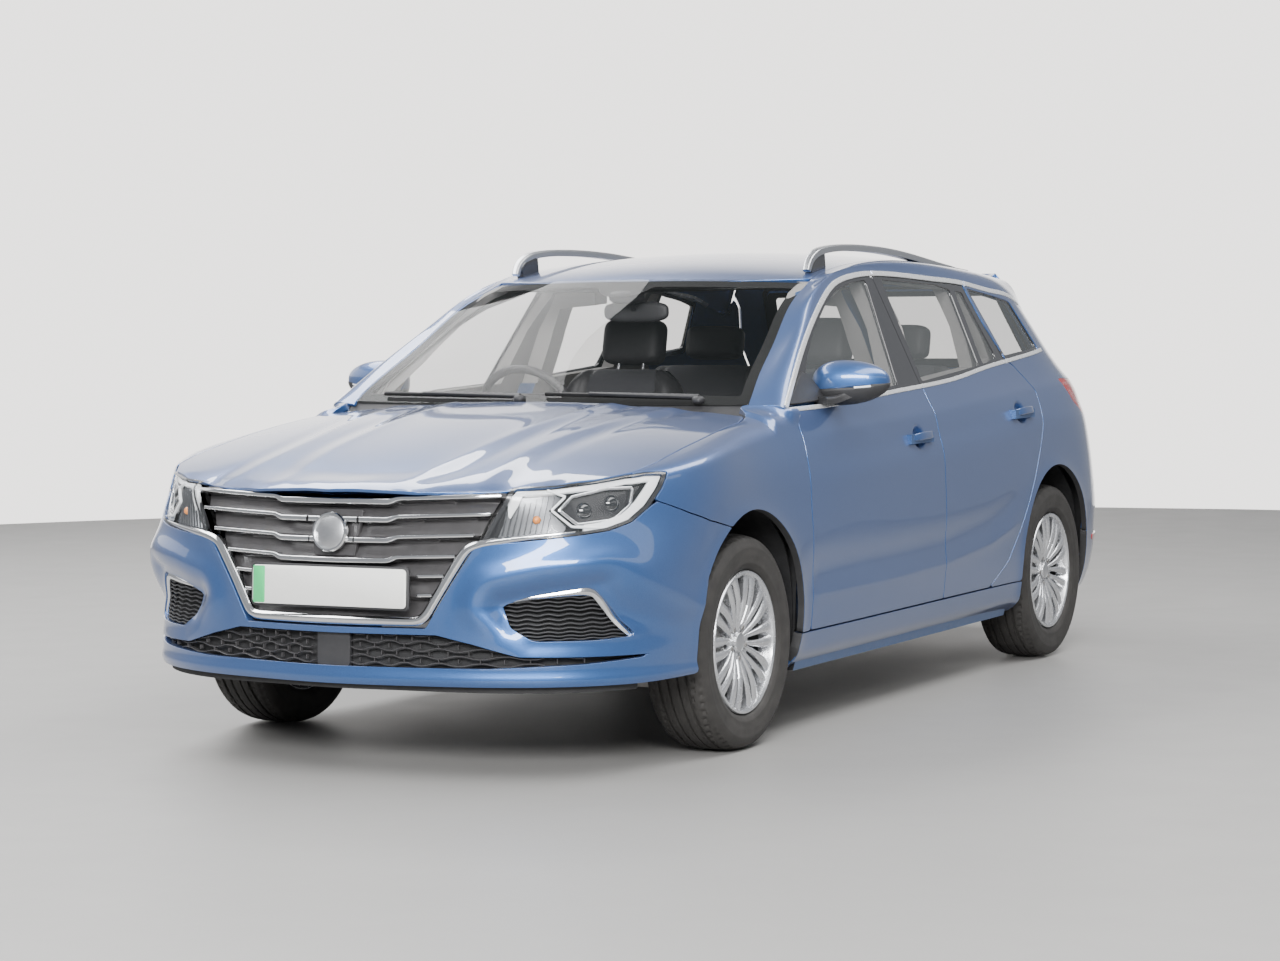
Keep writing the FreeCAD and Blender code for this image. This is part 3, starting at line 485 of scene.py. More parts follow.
# turns the open edges in: each ring is (how far out, how far below the surface)
def edgeRings(verts, normals, faces, rings):
    directed = {(a, b) for face in faces for a, b in zip(face, face[1:] + face[:1])}
    rim = [edge for face in faces for edge in zip(face, face[1:] + face[:1]) if edge[::-1] not in directed]
    if not rim:
        return verts, normals, faces
    outward = {}
    for a, b in rim:
        run = verts[b] - verts[a]
        length = np.linalg.norm(run)
        if length > 1e-6:
            side = np.cross(run / length, (normals[a] + normals[b]) / 2)
            for v in (a, b):
                outward[v] = outward.get(v, np.zeros(3)) + side * min(length, 4.0)
    rimVerts = sorted({v for edge in rim for v in edge})
    order = {v: k for k, v in enumerate(rimVerts)}
    out = unit(np.array([outward.get(v, np.array([0, 0, 1e-9])) for v in rimVerts]))
    up = unit(normals[rimVerts])
    previous = {v: v for v in rimVerts}
    newVerts, newNormals, newFaces = [verts], [normals], list(faces)
    for n, (reach, drop) in enumerate(rings):
        newVerts.append(verts[rimVerts] + out * reach - up * drop)
        newNormals.append(unit(out * 0.8 + up * (0.6 if n == 0 else 0.0)))
        here = {v: len(verts) + n * len(rimVerts) + order[v] for v in rimVerts}
        newFaces += [[previous[b], previous[a], here[a], here[b]] for a, b in rim]
        previous = here
    return np.concatenate(newVerts), np.concatenate(newNormals), newFaces


panelEdge = [(1.2, 0.9), (1.7, 3.0), (1.7, 15.0)]  # rounded hem, then a flange


# a skin piece cut from a grid, with turned-in edges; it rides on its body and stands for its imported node
def panel(name, points, field, material, rings=None, body=None, node=None, mirror=False,
          flip=False):
    normals = gridNormals(points) * (-1 if flip else 1)
    verts, vertNormals, faces = clipGrid(points, normals, field)
    if flip:
        faces = [face[::-1] for face in faces]
    verts, vertNormals, faces = edgeRings(verts, vertNormals, faces, panelEdge if rings is None else rings)
    if mirror:
        verts, vertNormals = verts * (-1, 1, 1), vertNormals * (-1, 1, 1)
        faces = [face[::-1] for face in faces]
    return assign(makeObject(name, verts, faces, material, vertNormals), body, node)


# the side skin is given by the way round the car (0 at the nose, growing along the left side to the tail)
# and the height. Each level lists the half outline seen from above.
wayShape = {"startX": 180, "turn": 820, "noseY": -2050, "tailY": 1930}

bodyLevels = [
    (195, -2255, (600, -2150), (770, -2000), (845, -1800), 858, 862, 862, 862, 860,
     (835, 1650), (770, 1880), (600, 2110), 2225),
    (250, -2292, (610, -2158), (798, -1985), (868, -1790), 878, 880, 880, 880, 878,
     (858, 1680), (800, 1900), (620, 2140), 2262),
    (345, -2298, (645, -2150), (812, -1985), (889, -1785), 896, 898, 898, 898, 896,
     (880, 1690), (825, 1915), (640, 2160), 2285),
    (470, -2298, (648, -2154), (818, -2000), (896, -1790), 904, 905, 905, 905, 904,
     (890, 1700), (840, 1915), (650, 2175), 2296),
    (600, -2292, (645, -2162), (808, -2035), (900, -1800), 909, 909, 909, 909, 908,
     (893, 1715), (838, 1915), (660, 2175), 2298),
    (730, -2272, (612, -2160), (772, -2020), (890, -1800), 906, 906, 906, 906, 906,
     (888, 1710), (828, 1905), (645, 2165), 2285),
    (850, -2245, (575, -2150), (738, -2010), (872, -1805), 896, 897, 897, 898, 900,
     (878, 1700), (800, 1915), (625, 2150), 2260),
    (930, -2215, (555, -2105), (718, -1975), (846, -1790), 869, 873, 874, 880, 889,
     (862, 1700), (780, 1905), (610, 2125), 2225),
    (1000, -2175, (545, -2070), (705, -1945), (818, -1760), 838, 842, 843, 848, 854,
     (834, 1690), (755, 1885), (590, 2090), 2175),
    (1060, -2122, (540, -2042), (695, -1922), (790, -1742), 808, 812, 813, 816, 818,
     (800, 1650), (722, 1850), (560, 2035), 2110),
    (1150, -2060, (530, -1980), (670, -1870), (745, -1700), 765, 769, 770, 772, 773,
     (752, 1600), (690, 1765), (540, 1945), 2025),
    (1250, -1990, (510, -1900), (640, -1790), (700, -1640), 718, 721, 722, 724, 724,
     (703, 1560), (655, 1690), (515, 1860), 1935),
    (1350, -1920, (490, -1830), (600, -1730), (655, -1600), 670, 673, 674, 676, 674,
     (655, 1510), (605, 1640), (470, 1795), 1862),
    (1440, -1860, (470, -1770), (560, -1680), (612, -1560), 628, 630, 631, 633, 630,
     (610, 1460), (560, 1590), (430, 1735), 1798),
    (1530, -1800, (450, -1700), (520, -1620), (570, -1500), 586, 588, 590, 590, 586,
     (565, 1400), (515, 1530), (390, 1660), 1730),
]
stations = (-1362, -800, -100, 700, 1250)  # where the five middle widths are given


def buildWay():
    w = wayShape
    steps = np.arange(0, 6001.0)

    def heading(s):
        u = np.clip(s / w["turn"], 0, 1)
        return math.pi / 2 * (u ** 3 * (u * (6 * u - 15) + 10))

    gain = np.cumsum(np.sin(heading(np.arange(0, w["turn"]) + 0.5)))[-1]
    sideStart = w["startX"] + w["turn"]
    sideEnd = sideStart + (w["tailY"] - gain) - (w["noseY"] + gain)
    total = sideEnd + w["turn"] + w["startX"]
    angle = heading(steps + 0.5 - w["startX"]) + heading(steps + 0.5 - sideEnd)
    x = np.concatenate([[0], np.cumsum(np.cos(angle))])[:-1]
    y = w["noseY"] + np.concatenate([[0], np.cumsum(np.sin(angle))])[:-1]
    angleAt = heading(steps - w["startX"]) + heading(steps - sideEnd)
    keep = steps <= total
    return {"s": steps[keep], "x": x[keep], "y": y[keep], "angle": angleAt[keep], "total": float(int(total)),
            "sideStart": sideStart, "sideY": w["noseY"] + gain}


way = buildWay()


# base point and outward direction at each way value
def wayAt(s):
    x, y, angle = (np.interp(s, way["s"], way[part]) for part in ("x", "y", "angle"))
    return x, y, np.sin(angle), -np.cos(angle)


# the way value and the distance out from the base line of a point on the left half
def wayOf(x, y):
    gap = (way["x"] - x) ** 2 + (way["y"] - y) ** 2
    i = int(np.argmin(gap))
    bx, by, nx, ny = wayAt(np.array([way["s"][i]]))
    tx, ty = -ny[0], nx[0]
    s = way["s"][i] + (x - bx[0]) * tx + (y - by[0]) * ty
    bx, by, nx, ny = wayAt(np.array([s]))
    return s, (x - bx[0]) * nx[0] + (y - by[0]) * ny[0]


def sideWay(y):
    return way["sideStart"] + (np.asarray(y, float) - way["sideY"])


def buildLevels():
    heights, table = [], []
    s = np.arange(0, way["total"] + 1, 5.0)
    for (z, nose, p1, p2, p3, xA, xB, xC, xD, xE, p4, p5, p6, tail) in bodyLevels:
        plan = [(0, nose), p1, p2, p3] + list(zip((xA, xB, xC, xD, xE), stations)) + [p4, p5, p6, (0, tail)]
        knots = [wayOf(x, y) for x, y in plan]
        knots[0] = (0.0, knots[0][1])
        knots[-1] = (way["total"], knots[-1][1])
        before = [(-k, r) for k, r in knots[2:0:-1]]
        after = [(2 * way["total"] - k, r) for k, r in knots[-2:-4:-1]]
        knots = before + knots + after
        table.append(spline([k for k, r in knots], [r for k, r in knots], s))
        heights.append(z)
    return np.array(heights, float), s, np.array(table)


levelHeights, levelWay, levelReach = buildLevels()
levelBend = splineBend(levelHeights, levelReach)


# smooth distance out from the base line, with no creases
def plainReach(s, z):
    shape = np.broadcast(s, z).shape
    s = np.broadcast_to(s, shape).ravel()
    z = np.broadcast_to(z, shape).ravel()
    k = np.clip(s / 5.0, 0, len(levelWay) - 1.001)
    i = k.astype(int)
    t = k - i
    low = np.clip(np.searchsorted(levelHeights, z) - 1, 0, len(levelHeights) - 2)
    step = levelHeights[low + 1] - levelHeights[low]
    a = (levelHeights[low + 1] - z) / step
    b = 1 - a
    out = 0
    for column, weight in ((i, 1 - t), (i + 1, t)):
        f0, f1 = levelReach[low, column], levelReach[low + 1, column]
        m0, m1 = levelBend[low, column], levelBend[low + 1, column]
        value = a * f0 + b * f1 + ((a ** 3 - a) * m0 + (b ** 3 - b) * m1) * step ** 2 / 6
        out = out + weight * value
    return out.reshape(shape)


creaseShape = {
    "shoulder": [(-2000, 866), (-1903, 872), (-998, 917), (-473, 942), (234, 962), (700, 988), (1198, 1014),
                 (1665, 1032), (2050, 1040)],
    "shoulderRise": 4.5, "shoulderWidth": 26, "shoulderDip": 5.0, "dipBelow": 78, "dipWidth": 42,
    "flank": [(-1000, 424), (-900, 426), (-300, 428), (170, 440), (600, 478), (900, 540)],
    "flankRise": 5.0, "flankWidth": 30, "flankDip": 4.0, "flankDipOver": 85, "flankDipWidth": 45,
    "archRadius": 372, "archHeight": 356, "archFlare": 7.0, "archFade": 26,
    "archFront": frontAxle - 10, "archRear": rearAxle - 10,
    "pocketDepth": 26, "pocketWidth": 34, "brow": 9, "browOver": 78, "collar": 9, "collarFade": 45,
    "chinLip": 9, "chinZ": 284,
}
grilleMouth = [(0, 467), (284, 467), (412, 668), (520, 808), (0, 832)]
fogPocket = [(519, 498), (640, 528), (770, 548), (812, 470), (845, 408), (790, 396), (600, 396), (548, 440)]


def ridge(distance, width, tip=3.0):
    return np.exp(-(np.sqrt(distance ** 2 + tip ** 2) - tip) / width)


def bump(distance, width):
    return np.exp(-(distance / width) ** 2)


# what is added to the plain reach: shoulder, flank, wheel arch lips and the nose's hollows
def creases(z, x, y):
    c = creaseShape
    d = z - np.interp(y, *np.array(c["shoulder"]).T)
    add = smoothStep((y + 1150) / 500) * (c["shoulderRise"] * ridge(d, c["shoulderWidth"])
                                          - c["shoulderDip"] * bump(d + c["dipBelow"], c["dipWidth"]))
    d = z - np.interp(y, *np.array(c["flank"]).T)
    add = add + smoothStep((y + 1000) / 120) * smoothStep((1000 - y) / 250) * (
        c["flankRise"] * ridge(d, c["flankWidth"])
        - c["flankDip"] * bump(d - c["flankDipOver"], c["flankDipWidth"]))
    for centre in (c["archFront"], c["archRear"]):
        d = np.hypot(y - centre, z - c["archHeight"]) - c["archRadius"]
        add = add + c["archFlare"] * np.exp(-np.maximum(d, 0) / c["archFade"]) * (np.abs(y - centre) < 700)
    nose = y < -1700
    if np.any(nose):
        sx, sz = x[nose], z[nose]
        pocket = outlineDistance(fogPocket, sx, sz)
        over = smoothStep((sz - 400) / 80)
        hollow = -c["pocketDepth"] * bump(np.maximum(pocket, 0), c["pocketWidth"]) * (0.35 + 0.65 * over)
        brow = c["brow"] * bump(pocket - c["browOver"], c["pocketWidth"]) * over
        collar = c["collar"] * np.exp(-np.maximum(mouthField(sx, sz), 0) / c["collarFade"])
        lip = c["chinLip"] * bump(sz - c["chinZ"], 20)
        add[nose] = add[nose] + hollow + brow + collar + lip
    return add


def mouthField(x, z):
    return outlineDistance(grilleMouth + [(-px, pz) for px, pz in grilleMouth[::-1]], x, z)


# the skin point at each way value and height
def sidePoint(s, z, plain=False):
    s, z = np.broadcast_arrays(np.asarray(s, float), np.asarray(z, float))
    reach = plainReach(s, z)
    bx, by, nx, ny = wayAt(s)
    if not plain:
        reach = reach + creases(z, bx + nx * reach, by + ny * reach)
    y = by + ny * reach
    tail, nose = np.clip(y - 2265, 0, None), np.clip(-2270 - y, 0, None)
    y = y - 0.0085 * tail ** 2 + 0.004 * nose ** 2  # both ends stay inside the length
    return columns(bx + nx * reach, y, z)


bonnetLine = np.array([(-2322, 798), (-2262, 818), (-2062, 877), (-1762, 944), (-1362, 1008), (-912, 1050)],
                      float)
roofLine = np.array([(-662, 1301), (-362, 1429), (-112, 1485), (288, 1521), (938, 1507), (1538, 1463),
                     (2038, 1411)], float)
bonnetBend = splineBend(bonnetLine[:, 0], bonnetLine[:, 1:])
roofBend = splineBend(roofLine[:, 0], roofLine[:, 1:])
bonnetDomes = {"lines": [[(185, -2260), (243, -1880), (258, -1560), (300, -1034)],
                         [(425, -2190), (405, -1850), (440, -1500), (520, -1000)]],
               "rises": (4.0, 3.5), "width": 34, "dipBeside": 70, "dipWidth": 40}


def bonnetHeight(x, y):
    b = bonnetDomes
    z = splineAt(bonnetLine[:, 0], bonnetLine[:, 1:], bonnetBend, y).reshape(x.shape) - 74 * (x / 1000) ** 2
    for line, rise in zip(b["lines"], b["rises"]):
        line = np.array(line, float)
        d = np.abs(x) - spline(line[:, 1], line[:, 0], np.clip(y, line[0, 1], line[-1, 1]))
        rise = rise * smoothStep((y + 2300) / 200)
        z = z + rise * ridge(d, b["width"], 5) - 0.8 * rise * bump(d - b["dipBeside"], b["dipWidth"])
    return z


def roofHeight(x, y):
    z = splineAt(roofLine[:, 0], roofLine[:, 1:], roofBend, y).reshape(x.shape)
    return z - 100 * (x / 1000) ** 2


# as sidePoint, with negative way values on the right of the nose
def wrapPoint(s, z, plain=False):
    s, z = np.broadcast_arrays(np.asarray(s, float), np.asarray(z, float))
    point = sidePoint(np.abs(s), z, plain)
    point[..., 0] *= np.where(s < 0, -1, 1)
    return point


# as sidePoint, with t counted from the middle of the tail: + on the left
def tailPoint(t, z, plain=False):
    t, z = np.broadcast_arrays(np.asarray(t, float), np.asarray(z, float))
    point = sidePoint(way["total"] - np.abs(t), z, plain)
    point[..., 0] *= np.where(t < 0, -1, 1)
    return point


def grid(a0, a1, b0, b1, step=12.0):
    a = np.linspace(a0, a1, max(2, int(round((a1 - a0) / step)) + 1))
    b = np.linspace(b0, b1, max(2, int(round((b1 - b0) / step)) + 1))
    return np.meshgrid(a, b, indexing="ij")


seam = 3.4  # half of a shut line, before the rounded hem
hem = [(1.0, 1.0), (1.4, 4)]  # rounded edge; each skin adds its own flange


# above zero inside either wheel arch
def archGap(y, z, extra=0.0):
    c = creaseShape
    front = np.hypot(y - c["archFront"], z - c["archHeight"])
    rear = np.hypot(y - c["archRear"], z - c["archHeight"])
    return c["archRadius"] + extra - np.minimum(front, rear)


# outlines on the nose as way value and height
bumperEdge = [(-200, 268), (700, 268), (1010, 282), (1035, 684), (1000, 690), (900, 712), (820, 741),
              (742, 781), (724, 766), (686, 727), (640, 705), (590, 695), (520, 684), (424, 670),
              (405, 660), (296, 432), (-200, 430)]
intakeEdge = rounded([(-200, 318), (430, 320), (600, 330), (704, 342), (724, 352), (600, 353), (486, 356),
                      (400, 392), (322, 416), (-200, 414)], [0, 20, 20, 4, 4, 20, 30, 20, 20, 0])
pocketEdge = rounded([(455, 498), (510, 528), (562, 542), (612, 551), (640, 500), (664, 450), (694, 404),
                      (622, 396), (512, 396), (470, 436)], [6, 20, 20, 22, 20, 20, 12, 20, 24, 30])


# the tallest of several fields: a piece is kept only where all of them are below zero
def within(*fields):
    out = fields[0]
    for field in fields[1:]:
        out = np.maximum(out, field)
    return out


# the flange round a wheel arch is black, as the liner
def blackArch(item):
    item.data.materials.append(undertrayBlack)
    for face in item.data.polygons:
        if abs(face.normal.x) < 0.6 and archGap(face.center.y * 1000, face.center.z * 1000, 5) > 0:
            face.material_index = len(item.data.materials) - 1


def onSide(name, side):
    return name if name in ("body", "tailgate") else f"{name}_{side}"


# the same painted skin on the left and on the right
def panelPair(stem, points, field, rings=None, body="body", node=None, arch=True):
    for side in sides:
        item = panel(f"{stem}_{side}", points, field, paintBlue, rings, onSide(body, side),
                     node and f"{node}_{side}", mirror=side == "right")
        if arch:
            blackArch(item)


def frontBumper():
    s, z = grid(-1030, 1030, 262, 800, 9)
    point = wrapPoint(s, z)
    a = np.abs(s)
    field = within(outlineDistance(bumperEdge, a, z) + 1.0, -outlineDistance(intakeEdge, a, z),
                   -outlineDistance(pocketEdge, a, z), archGap(point[..., 1], z))
    blackArch(panel("bumperFrontSkin", point, field, paintBlue, [(1.0, 1.2), (1.2, 4), (1.2, 26)], "body",
                    "front_bumper"))


bonnetShape = {
    "edge": [(0, -936), (270, -899), (420, -840), (510, -790), (620, -742), (730, -652), (786, -560),
             (803, -450), (800, -148), (780, 165), (752, 262)],
    "radii": [60, 60, 60, 50, 50, 60, 60, 60, 60, 40, 20, 20, 40, 60, 60, 60, 60, 50, 50, 60, 60],
    "front": [(640, -738), (510, -792), (270, -906), (0, -940)],
    "liftAt": [0, 80, 150, 300, 420, 500, 600], "lift": [24, 22, 17, 9, -3, -5, 0], "liftFade": 190,
    "roll": 7, "rollWidth": 60,
    "skinStep": 12.5, "innerDrop": 20, "rib": 6, "ribAt": 330, "ribWidth": 120,
}
bonnetHalf = [(x, fore(y)) for x, y in bonnetShape["edge"]]
bonnetEdge = rounded(bonnetHalf + [(-x, y) for x, y in bonnetHalf[:0:-1]], bonnetShape["radii"])


# the bonnet top, rolled down along its front edge
def bonnetSurface(x, y):
    b = bonnetShape
    half = [(px, fore(py)) for px, py in b["front"]]
    front = np.abs(lineDistance([(-px, py) for px, py in half] + half[-2::-1], x, y))
    lift = np.interp(np.abs(x), b["liftAt"], b["lift"]) * smoothStep(1 - front / b["liftFade"])
    roll = b["roll"] * np.clip(1 - front / b["rollWidth"], 0, 1) ** 2
    return columns(x, y, bonnetHeight(x, y) + lift - roll)


def bonnetSkin():
    b = bonnetShape
    x, y = grid(-830, 830, fore(-950), fore(270), b["skinStep"])
    point = bonnetSurface(x, y)
    edge = outlineDistance(bonnetEdge, x, y)
    panel("bonnetSkin", point, edge + seam, paintBlue, [(1.5, 1.2), (2.2, 4.5), (2.2, 9)], "bonnet", "bonnet")
    off = np.clip(np.abs(np.abs(x) - b["ribAt"]) / b["ribWidth"], 0, 1)
    point[..., 2] -= b["innerDrop"] + b["rib"] * np.maximum(np.cos(off * math.pi), 0)
    panel("bonnetInner", point[::2, ::2], (edge + 26)[::2, ::2], structurePaint, [(2, -3), (6, -14)],
          "bonnet", flip=True)


shoulderEdge = np.vstack([bonnetEdge[(bonnetEdge[:, 0] > 0) & (bonnetEdge[:, 1] < fore(150))],
                          [(782, fore(165)), (744, fore(290)), (700, fore(470)), (0, fore(470))]])


# how far out from the base line the bonnet's edge lies, for way values along the nose and wing
def edgeReach():
    s = np.arange(300, 1701, 20.0)
    d = np.arange(0, 330, 2.0)
    bx, by, nx, ny = wayAt(s[:, None])
    gap = outlineDistance(shoulderEdge, bx + nx * d, by + ny * d)
    last = np.array([np.nonzero(row)[0].max() if row.any() else 0 for row in gap < 0])
    k = np.clip(last, 0, len(d) - 2)
    g0, g1 = gap[np.arange(len(s)), k], gap[np.arange(len(s)), k + 1]
    return s, d[k] + 2 * g0 / np.where(np.abs(g0 - g1) < 1e-6, 1e6, g0 - g1)


edgeWay, edgeOut = edgeReach()


pillarFoot = np.array([(-1100, -1078, -1060, -1000, -966, -930, -880), (752, 722, 728, 796, 834, 841, 843),
                       (1006, 1024, 1029, 1024, 1018, 1017, 1017)], float)


# a smooth bridge from start to end that leaves and arrives along the given directions
def bridge(start, leave, end, arrive, t):
    return ((2 * t ** 3 - 3 * t ** 2 + 1) * start + (t ** 3 - 2 * t ** 2 + t) * leave
            + (-2 * t ** 3 + 3 * t ** 2) * end + (t ** 3 - t ** 2) * arrive)


# v up to 1 climbs the side; from 1 to 2 the skin rolls over to the bonnet's edge
# the second result is how far below that edge each point lies, along the skin
def shoulderPoint(s, v):
    bx, by, nx, ny = wayAt(s)
    reach = np.interp(s, edgeWay, edgeOut)
    ex, ey = bx + nx * reach, by + ny * reach
    ez = bonnetHeight(ex, ey)
    foot = smoothStep((ey + 1108) / 30)  # behind the bonnet the skin runs out on the pillar's foot
    ex = ex * (1 - foot) + np.interp(ey, *pillarFoot[:2]) * foot
    ez = ez * (1 - foot) + np.interp(ey, pillarFoot[0], pillarFoot[2]) * foot
    top = ez - np.interp(s, [420, 700, 1000, 1400], [24, 34, 52, 62])
    z = 300 + (top - 300) * np.clip(v, 0, 1)
    start = sidePoint(s, top)
    rise = unit(start - sidePoint(s, top - 8))
    end = columns(ex, ey, ez)
    inX, inY = ex - 8 * nx, ey - 8 * ny
    back = columns(inX, inY, bonnetHeight(inX, inY))
    level = columns(inX, inY, ez + 5)
    fall = (back * (1 - foot[..., None]) + level * foot[..., None] - end) / 8
    span = np.linalg.norm(end - start, axis=-1, keepdims=True)
    roll = bridge(start, rise * span * 1.1, end, fall * span * 1.1, np.clip(v - 1, 0, 1)[..., None])
    below = np.where(v > 1, (2 - v) * span[..., 0], span[..., 0] + top - z)
    return np.where(v[..., None] <= 1, sidePoint(s, z), roll), below


lampFoot = [(412, 672), (520, 686), (590, 697), (640, 707), (686, 729), (724, 768), (756, 820), (778, 868),
            (786, 1000), (300, 1000), (300, 660)]
lampInner = [(418, 600), (419, 676), (440, 735), (462, 790), (476, 840), (484, 1000)]


# below zero inside the headlamp's outline on the shoulder skin
def lampField(s, z, below):
    brow = np.interp(s, [300, 690, 730, 778], [4, 4, 16, 52]) - below
    return within(outlineDistance(lampFoot, s, z), -lineDistance(lampInner, s, z), brow)


doorFrontLine = np.array([(-931, 300), (-936, 540), (-940, 700), (-938, 860), (-930, 950), (-915, 1000),
                          (-900, 1030), (-860, 1060)], float)


def wings():
    s, v = np.meshgrid(np.linspace(600, sideWay(-600), 112),
                       np.concatenate([np.linspace(0, 1, 56), np.linspace(1, 2, 15)[1:]]), indexing="ij")
    point, below = shoulderPoint(s, v)
    y, z = point[..., 1], point[..., 2]
    door = y - np.interp(z, doorFrontLine[:, 1], doorFrontLine[:, 0]) + seam
    bumperTop = np.interp(s, [600, 742, 820, 900, 1000, 1100], [860, 782, 743, 714, 692, 664])
    field = within(door, archGap(y, z), np.where(y > -985, z - 1013, -99), 2.5 - lampField(s, z, below),
                   np.where(s < 1100, bumperTop - z + seam, -99), seam - below, sillTop - z + seam)
    panelPair("wingSkin", point, field, hem + [(1.4, 22)], node="front_wing")


sillTop = 318
splitY = 177.0
beltLine = np.array([(-960, 1008), (-687, 1012), (-80, 1039), (135, 1048), (546, 1071), (805, 1096),
                     (1099, 1119), (1408, 1143), (1600, 1160)], float)
topLine = np.array([(834, -966, 1018), (769, -740, 1152), (713, -516, 1269), (671, -321, 1356),
                    (650, -181, 1404), (638, -33, 1428), (632, 102, 1438), (629, 214, 1440),
                    (633, 478, 1433), (640, 733, 1421), (646, 996, 1407), (660, 1253, 1378),
                    (672, 1450, 1354), (684, 1530, 1330)], float)
rearDoorLine = np.array([(aft(-728), 300), (aft(-610), 358), (aft(-516), 404), (aft(-416), 498),
                         (aft(-325), 601), (aft(-240), 705), (aft(-172), 800), (aft(-128), 881),
                         (aft(-105), 955), (aft(-95), 1005), (aft(-122), 1050), (aft(-175), 1100),
                         (aft(-225), 1122), (aft(-282), 1250), (aft(-322), 1440)], float)


# the outer door skin below its window
def doorField(y, z, front):
    field = within(sillTop - z + seam + 1.5, z - np.interp(y, *beltLine.T) + 6)
    if front:
        lead = np.interp(z, doorFrontLine[:, 1], doorFrontLine[:, 0])
        return within(field, lead - y + seam, y - splitY + seam)
    return within(field, splitY - y + seam, lineDistance(rearDoorLine, y, z) + seam)


handleShape = {"front": (1347, 884), "rear": (2337, 932), "length": 172, "cupLength": 46, "cupHeight": 38,
               "cupDepth": 17}


def doorSkin(name, y0, y1):
    h = handleShape
    y, z = grid(y0, y1, 306, 1150, 10)
    point = sidePoint(sideWay(y), z)
    away = np.hypot((y - fore(h[name][0])) / h["cupLength"], (z - h[name][1]) / h["cupHeight"])
    point[..., 0] -= h["cupDepth"] * smoothStep((1.12 - away) / 0.62)  # a finger recess behind the handle
    panelPair(name + "DoorSkin", point, doorField(y, z, name == "front"), body=name + "_door", arch=False)


def sills():
    y, z = grid(-1010, aft(-300), 200, sillTop + 4, 9)
    point = sidePoint(sideWay(y), z)
    point[..., 0] -= 40 * np.clip((262 - z) / 60, 0, 1) ** 2
    panelPair("sillSkin", point, within(archGap(y, z), z - sillTop + seam, 205 - z), hem + [(1.4, 30)])


# the windscreen's left edge, bottom to top, and the roof's side edge after it
screenEdge = np.array([(724, fore(352), 1030), (718, fore(392), 1058), (704, fore(455), 1096),
                       (661, fore(689), 1221), (623, fore(903), 1344), (600, fore(1092), 1412)], float)
screenMiddle = np.array([(0, fore(292), 1028), (0, fore(620), 1232), (0, fore(952), 1425)], float)


# the windscreen: u runs across from -1 to 1, v from the foot to the head
def screenPoint(u, v):
    edge = spline([0, 0.09, 0.19, 0.52, 0.81, 1.0], screenEdge, v)
    middle = spline([0, 0.5, 1.0], screenMiddle, v)
    a = np.abs(u)[..., None]
    out = middle + (edge - middle) * (0.25 * a ** 2 + 0.75 * a ** 2.6)
    out[..., 0] = edge[..., 0] * u
    bow = 14 * np.sin(np.pi * v)[..., None]
    return out + bow * np.array([0, -0.55, 0.8]) * (1 - 0.6 * a)


# the roof panel's left edge as x at each y
def roofEdge(y):
    return np.interp(y, [-262, 0, 600, 1200, 1640], [598, 590, 588, 580, 560])


# from the window's chrome up over the pillar and the cant rail to the windscreen and the roof
def cantStrip(count=150, across=16, split=0.36):  # split: the share that runs beside the windscreen
    outer = along(np.vstack([topLine, [(690, 1600, 1310), (684, 1680, 1292)]]), count)
    outer[:, 0] = sidePoint(sideWay(outer[:, 1]), outer[:, 2], True)[:, 0] + 1
    tangent = unit(np.gradient(outer, axis=0))
    k = np.linspace(0, 1, count)
    v = np.clip(k / split, 0, 1)
    edge, near = (screenPoint(np.full(count, u), v) for u in (1.0, 0.985))
    y = -262 + (k - split) / (1 - split) * (1640 + 262)
    roofAt, roofIn = (columns(x, y, roofHeight(x, y)) for x in (roofEdge(y), roofEdge(y) - 8))
    weight = smoothStep((k - split + 0.02) / 0.05)[:, None]
    inner = edge * (1 - weight) + roofAt * weight
    inward = unit(near - edge) * (1 - weight) + (roofIn - roofAt) / 8 * weight
    lean = [-0.43, 0.0, 0.90]
    lean = unit(lean - tangent * np.sum(lean * tangent, axis=1, keepdims=True))
    span = np.linalg.norm(inner - outer, axis=1)[:, None]
    return np.stack([bridge(outer, lean * span * 0.9, inner, inward * span, t)
                     for t in np.linspace(0, 1, across)], axis=1)


# where the roof and the cant strips end at the tailgate, as y
def gateLine(x):
    a = np.abs(x)
    return np.where(a < 560, 1622 - 16 * (a / 560) ** 2, 1606 + (a - 560) * 0.6)


def roofParts():
    strip = cantStrip()
    foot = strip[:1] + 14 * unit(strip[:1] - strip[1:2])  # tucked into the wing
    strip = np.concatenate([foot, strip])
    field = strip[..., 1] - gateLine(strip[..., 0]) + np.where(strip[..., 0] < 600, seam, 0.5)
    panelPair("cantSkin", strip, field, [(0.6, 1), (0.6, 12)], arch=False)
    x, y = grid(-620, 620, -470, 1640, 15)
    point = columns(x, y, roofHeight(x, y))
    lead = -412 + 150 * (np.abs(x) / 600) ** 2.2
    field = within(np.abs(x) - roofEdge(y) + 2.5, lead + 8 - y, y - gateLine(x) + seam)
    panel("roofSkin", point, field, paintBlue, [(1, 1), (1.2, 4), (1.2, 14)], "body", "roof_panel")
    panel("headlinerPanel", (point - (0, 0, 26))[::3, ::3], field[::3, ::3] + 14, headliner,
          [(2, -2), (4, -10)], "body", flip=True)


